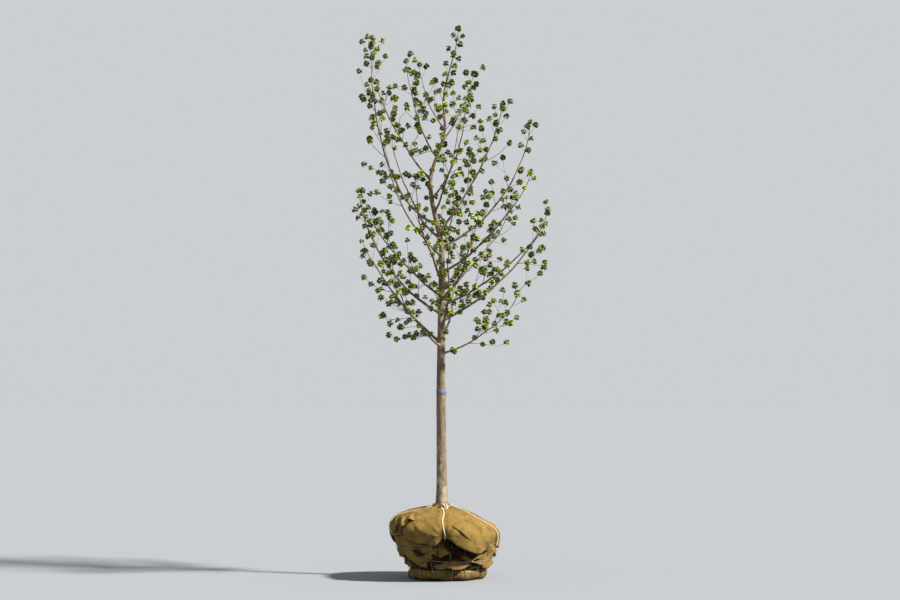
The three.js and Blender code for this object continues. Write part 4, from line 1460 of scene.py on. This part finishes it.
def laid_rope(bag, p, r, lay=0.030, sides=7, mat=0):
    """Three strands twisted round the path p."""
    p = even(p, 0.0032)
    s = along(p)
    _, n, b = frames_along(p)
    for k in range(3):
        a = 2 * np.pi * (s / lay + k / 3)
        q = p + 0.52 * r * (np.cos(a)[:, None] * n + np.sin(a)[:, None] * b)
        v, quads, tris = tube(q, np.full(len(q), 0.54 * r), sides, cap_end=True, cap_start=True)
        bag.add(v, quads, tris, mat)


def plain_wire(bag, p, r, sides=8, mat=0, closed=False):
    if closed:
        v, quads, _ = tube(np.vstack([p, p[:1]]), np.full(len(p) + 1, r), sides, cap_end=False)
        bag.add(v, quads, None, mat)
    else:
        v, quads, tris = tube(p, np.full(len(p), r), sides, cap_end=True, cap_start=True)
        bag.add(v, quads, tris, mat)


cape_o, cape_phi, cape_S, cape_Q, hem_z, hem_stand = cape()
skirt_o, skirt_phi, skirt_Q = skirt(cape_phi, hem_z, hem_stand)
print("burlap faces", len(cape_o.data.polygons) * 2, len(skirt_o.data.polygons) * 2)

rope_bag = Bag()
rng = np.random.default_rng(31)
ROPE_R = 0.0057
for a in ROPES:
    rows = np.linspace(3, len(cape_Q) - 2, 60)
    sway = np.radians(a) + 0.05 * np.sin(np.linspace(0, 5.5, 60) + a) * np.linspace(0.6, 1, 60)
    p = grid_at(cape_Q, cape_phi, sway, rows)
    p = soften(p, 3)
    mid = p[:, :2] - np.array([-0.03, 0.0])
    out = np.concatenate([mid / (np.linalg.norm(mid, axis=1)[:, None] + 1e-9), np.zeros((60, 1))], 1)
    up = smooth(0.34, 0.47, p[:, 2])[:, None]
    n = unit_rows(out * (1 - 0.85 * up) + np.array([0, 0, 1.0]) * (0.15 + 0.85 * up))
    p = p + n * ROPE_R * 0.75
    # tucked in under the hem at its end
    last = p[-1]
    tail = np.array([last - out[-1] * 0.002 - UP * 0.012, last - out[-1] * 0.016 - UP * 0.024, last - out[-1] * 0.038 - UP * 0.026, last - out[-1] * 0.060 - UP * 0.020])
    p = np.vstack([p, tail])
    laid_rope(rope_bag, soften(even(p, 0.006), 2), ROPE_R)
# turns round the gathered neck
t = np.linspace(0, 1, 220)
turn = 2 * np.pi * 2.35 * t + 0.4
rr = 0.0700 + 0.003 * np.sin(3 * turn + 1) + 0.002 * np.sin(5 * turn)
neck = np.stack([STEM_FOOT[0] + rr * np.sin(turn), -rr * np.cos(turn), 0.531 + 0.0090 * (t - 0.5) * 2 + 0.003 * np.sin(2 * turn)], -1)
laid_rope(rope_bag, neck, ROPE_R)
# the knot in front of the stem
KNOT_AT = np.array([-0.017, -0.100, 0.536])
t = np.linspace(0, 2 * np.pi, 160)
kx, ky, kz = np.sin(t) + 2 * np.sin(2 * t), np.sin(3 * t), np.cos(t) - 2 * np.cos(2 * t)
for wide, deep, tall, tilt, off in ((0.0112, 0.0120, 0.0086, 0.25, (0.000, 0.000, 0.000)), (0.0094, 0.0100, 0.0080, -0.55, (0.004, -0.012, 0.001))):
    knot = np.stack([kx * wide, -ky * deep, kz * tall], -1)
    cs, sn = math.cos(tilt), math.sin(tilt)
    knot = np.stack([knot[:, 0] * cs - knot[:, 2] * sn, knot[:, 1], knot[:, 0] * sn + knot[:, 2] * cs], -1) + KNOT_AT + np.array(off)
    laid_rope(rope_bag, knot, ROPE_R * 1.25, sides=8)
for dx, dz, drop, seed in ((0.016, -0.004, 0.050, 1), (-0.020, 0.000, 0.038, 2), (0.004, -0.008, 0.080, 3)):
    t = np.linspace(0, 1, 14)[:, None]
    a = KNOT_AT - UP * 0.007
    p = a + np.array([dx, -0.010, 0.006]) * np.sin(t * 2.0) + np.array([dx * 0.8, -0.028, -drop * 0.55]) * t**1.4
    laid_rope(rope_bag, p, ROPE_R * 0.9)
rope_o = rope_bag.make("ball_ropes", [ROPE])

# wire basket: level rings and uprights that bridge the folds
wire_bag = Bag()
WIRE_R = 0.0016


def skirt_radius(phi, z, reach=0.006):
    """How far out the skirt comes near height z, by its own columns."""
    rad = np.linalg.norm(skirt_Q[..., :2] - np.array([SHOULDER_SHIFT * 0.5, 0.0]), axis=-1)
    near = np.abs(skirt_Q[..., 2] - z) < reach
    best = np.where(near, rad, -1).max(0)
    best = np.where(best < 0, np.nan, best)
    ok = ~np.isnan(best)
    ang = np.arctan2(skirt_Q[..., 0] - SHOULDER_SHIFT * 0.5, -skirt_Q[..., 1])
    col = ang[len(skirt_Q) // 2]
    order = np.argsort(col[ok])
    return np.interp(phi, col[ok][order], best[ok][order], period=2 * np.pi)


def circle_filter(v, half, kind):
    k = range(-half, half + 1)
    stack = np.stack([np.roll(v, i) for i in k])
    return stack.max(0) if kind == "max" else stack.mean(0)


fine_phi = np.linspace(-np.pi, np.pi, 480, endpoint=False)
ring_r = {}
for zr in RINGS_Z:
    raw = skirt_radius(fine_phi, zr)
    # taut: it bridges the hollows and is buried where a fold hangs over it
    rad = circle_filter(circle_filter(raw, 16, "mean"), 9, "mean") - 0.001
    ring_r[zr] = rad
    zz = zr + 0.006 * lattice_noise(turns(fine_phi), np.zeros_like(fine_phi), 9, int(1000 * zr)) + 0.002 * lattice_noise(turns(fine_phi), np.zeros_like(fine_phi), 30, int(1000 * zr) + 5)
    p = np.stack([SHOULDER_SHIFT * 0.5 + (rad + WIRE_R) * np.sin(fine_phi), -(rad + WIRE_R) * np.cos(fine_phi), zz], -1)
    plain_wire(wire_bag, p, WIRE_R, closed=True)
rng = np.random.default_rng(77)
for k in range(UPRIGHTS):
    a0 = 2 * np.pi * (k + 0.35) / UPRIGHTS + rng.uniform(-0.05, 0.05)
    zz = np.linspace(0.275, 0.022, 66)
    raw = np.array([float(skirt_radius(np.array([a0]), z)[0]) for z in zz])
    taut = np.convolve(np.pad(raw, 9, mode="edge"), np.ones(19) / 19, "valid") - 0.001
    taut = np.convolve(np.pad(taut, 2, mode="edge"), np.ones(5) / 5, "valid")
    ang = a0 + 0.035 * np.sin(zz * 24 + k) + rng.uniform(-0.05, 0.05) * (zz - 0.15) / 0.15
    p = np.stack([SHOULDER_SHIFT * 0.5 + (taut + WIRE_R * 2.4) * np.sin(ang), -(taut + WIRE_R * 2.4) * np.cos(ang), zz], -1)
    plain_wire(wire_bag, soften(p, 2), WIRE_R)
wire_o = wire_bag.make("basket_wires", [WIRE])

# bunched cloth at the left shoulder: standing pleats with open mouths that fade out up the dome
ear_bag, ear_uv = Bag(), []
cape_n, _ = surface_frame(cape_Q)


def pleat(phi0, row0, phi1, row1, wide, tall, lean, seed):
    """A tunnel of cloth from its mouth at (phi0, row0) to where it dies out at (phi1, row1)."""
    rng = np.random.default_rng(seed)
    n = 22
    u = np.linspace(0, 1, n)
    ang, row = np.radians(phi0 + (phi1 - phi0) * u), row0 + (row1 - row0) * u
    c = soften(grid_at(cape_Q, cape_phi, ang, row), 2)
    nn = unit_rows(grid_at(cape_n, cape_phi, ang, row))
    t = unit_rows(np.gradient(c, axis=0))
    b = unit_rows(np.cross(nn, t))
    m = 34
    a = np.linspace(-0.10, 1.10, m) * np.pi
    rings_out, rings_in = [], []
    lumps = rng.uniform(0, 6.28, 3)
    for k in range(n):
        w = wide * (1 - 0.62 * u[k] ** 1.3) * (1 + 0.05 * np.sin(7 * u[k] + lumps[0]))
        h = tall * math.cos(0.5 * math.pi * u[k]) ** 1.25 * (1 + 0.07 * np.sin(9 * u[k] + lumps[1]))
        # the mouth flares and its rim droops unevenly
        flare = 1 + 0.16 * np.exp(-u[k] / 0.10)
        wave = 1 + 0.07 * np.sin(2 * a + lumps[1] + 2 * u[k]) + 0.05 * np.sin(4 * a + lumps[2])
        # it runs out softly into the cloth on both sides
        side = w * flare * np.cos(a) * (1 + 1.9 * np.clip(0.55 - np.sin(a), 0, 1) ** 1.6) + lean * h * np.sin(a)
        up = h * flare * wave * np.sign(np.sin(a)) * np.abs(np.sin(a)) ** 1.25 - 0.003
        back = 0.006 * np.sin(2.4 * a + lumps[2]) * np.exp(-u[k] / 0.15)
        line = c[k] + b[k] * side[:, None] + nn[k] * up[:, None] + t[k] * back[:, None]
        rings_out.append(line)
        centre = c[k] + nn[k] * h * 0.3
        inward = unit_rows(centre - line)
        rings_in.append(line + inward * 0.0042)
    lip = (rings_out[0] + rings_in[0]) / 2 - t[0] * 0.0026
    rings = np.array([*rings_out[::-1], lip, *rings_in])
    i = np.arange(len(rings) - 1)[:, None] * m
    j = np.arange(m - 1)[None]
    quads = np.stack([i + j, i + j + 1, i + m + j + 1, i + m + j], -1).reshape(-1, 4)
    ear_bag.add(rings.reshape(-1, 3), quads, None, 0)
    # cloth metres: across the pleat and along it
    round_it = np.concatenate([[0], np.cumsum(np.linalg.norm(np.diff(rings_out[2], axis=0), axis=1))])
    run = np.concatenate([[0], np.cumsum(np.linalg.norm(np.diff(c, axis=0), axis=1))])
    run = np.concatenate([run[::-1], [-0.003], -0.006 - run])
    ear_uv.append(np.stack(np.meshgrid(round_it, run + 0.37 * seed), -1).reshape(-1, 2))


def spot_at(x, z):
    """Angle in degrees and row of the cape's front where it shows at X and height z."""
    miss = np.where(cape_Q[..., 1] < 0, np.hypot(cape_Q[..., 0] - x, cape_Q[..., 2] - z), 9)
    i, j = np.unravel_index(np.argmin(miss), miss.shape)
    return math.degrees(cape_phi[j]), float(i)


# mouth (X and height), how it runs back in degrees and rows, half width, height, lean, seed
for x, z, dphi, drow, wide, tall, lean, seed in (
    (-0.300, 0.414, -24, -24, 0.024, 0.027, 0.18, 1),
    (-0.250, 0.448, -16, -27, 0.020, 0.027, 0.26, 2),
    (-0.345, 0.402, -18, -21, 0.022, 0.022, -0.05, 3),
    (-0.366, 0.372, -20, -16, 0.021, 0.016, 0.10, 4),
):
    a, row = spot_at(x, z)
    pleat(a, row, a + dphi, max(6.0, row + drow), wide, tall, lean, seed)
ear_o = mesh_of("burlap_gathers", np.concatenate(ear_bag.v), np.concatenate(ear_bag.q), None, [BURLAP], uv=np.concatenate(ear_uv))

for o in (cape_o, skirt_o, ear_o):
    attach(o, "root")
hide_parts("root_ball")
for o in (rope_o, wire_o):
    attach(o, "root")

# ------------------------------------------------------------------ ribbon round the stem
ribbon_bag = Bag()
n = 72
phi = np.linspace(0, 2 * np.pi, n, endpoint=False)
rings = []
for dz, proud in ((-0.016, 0.0000), (-0.0158, 0.0014), (-0.010, 0.0019), (-0.002, 0.0013), (0.006, 0.0020), (0.0150, 0.0015), (0.0155, 0.0000)):
    z = 1.401 + dz * 0.9 - 0.0070 * np.sin(phi + 0.3) + 0.0008 * np.sin(5 * phi)
    c = stem_centre(z)
    r = stem_radius(z) * 1.035 + proud + 0.0005 * np.sin(9 * phi + dz * 400)
    rings.append(c + np.stack([r * np.sin(phi), -r * np.cos(phi), 0 * phi], -1))
rings = np.array(rings)
i = np.arange(len(rings) - 1)[:, None] * n
j = np.arange(n)[None]
k = (j + 1) % n
ribbon_bag.add(rings.reshape(-1, 3), np.stack([i + j, i + k, i + n + k, i + n + j], -1).reshape(-1, 4))
# its loose end, on the right
u = np.linspace(0, 1, 12)[:, None]
w = np.linspace(-1, 1, 6)[None]
z = 1.397 - 0.016 * u**1.3 + 0.0125 * w * (1 - 0.25 * u) + 0.006 * u * (w > 0.5)
ang = 1.25 + 0.62 * u + 0 * w
c = stem_centre(z.ravel()).reshape(*z.shape, 3)
r = stem_radius(z.ravel()).reshape(z.shape) * 1.035 + 0.0024 + 0.0085 * u**1.6 + 0.0012 * np.sin(5 * u + 2 * w)
face = c + np.stack([r * np.sin(ang), -r * np.cos(ang), 0 * ang], -1)
back = face - np.stack([np.sin(ang), -np.cos(ang), 0 * ang], -1) * 0.0007
loop = np.concatenate([face, back[:, ::-1]], 1)
m = loop.shape[1]
i = np.arange(len(u) - 1)[:, None] * m
j = np.arange(m)[None]
k = (j + 1) % m
end = [(i0 * m + a0, i0 * m + a0 + 1, i0 * m + m - 2 - a0, i0 * m + m - 1 - a0) for i0 in (0, len(u) - 1) for a0 in range(m // 2 - 1)]
ribbon_bag.add(loop.reshape(-1, 3), np.concatenate([np.stack([i + j, i + k, i + m + k, i + m + j], -1).reshape(-1, 4), np.array(end)]))
ribbon_o = ribbon_bag.make("stem_ribbon", [RIBBON])
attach(ribbon_o, "root")

# ------------------------------------------------------------------ floor
# Its tone meets the studio's far tone, so that no horizon line shows.
stage_mat = bpy.data.materials.new("stage_pale")
stage_mat.use_nodes = True
stage_mat.node_tree.nodes["Principled BSDF"].inputs["Base Color"].default_value = (0.1904, 0.2028, 0.2214, 1)
stage_mat.node_tree.nodes["Principled BSDF"].inputs["Roughness"].default_value = 1.0
stage_mat.node_tree.nodes["Principled BSDF"].inputs["Specular IOR Level"].default_value = 0.0
s = 400.0
floor = mesh_of("stage_floor", np.array([(-s, -s, 0), (s, -s, 0), (s, s, 0), (-s, s, 0)], float), quads=[(0, 1, 2, 3)], materials=[stage_mat])
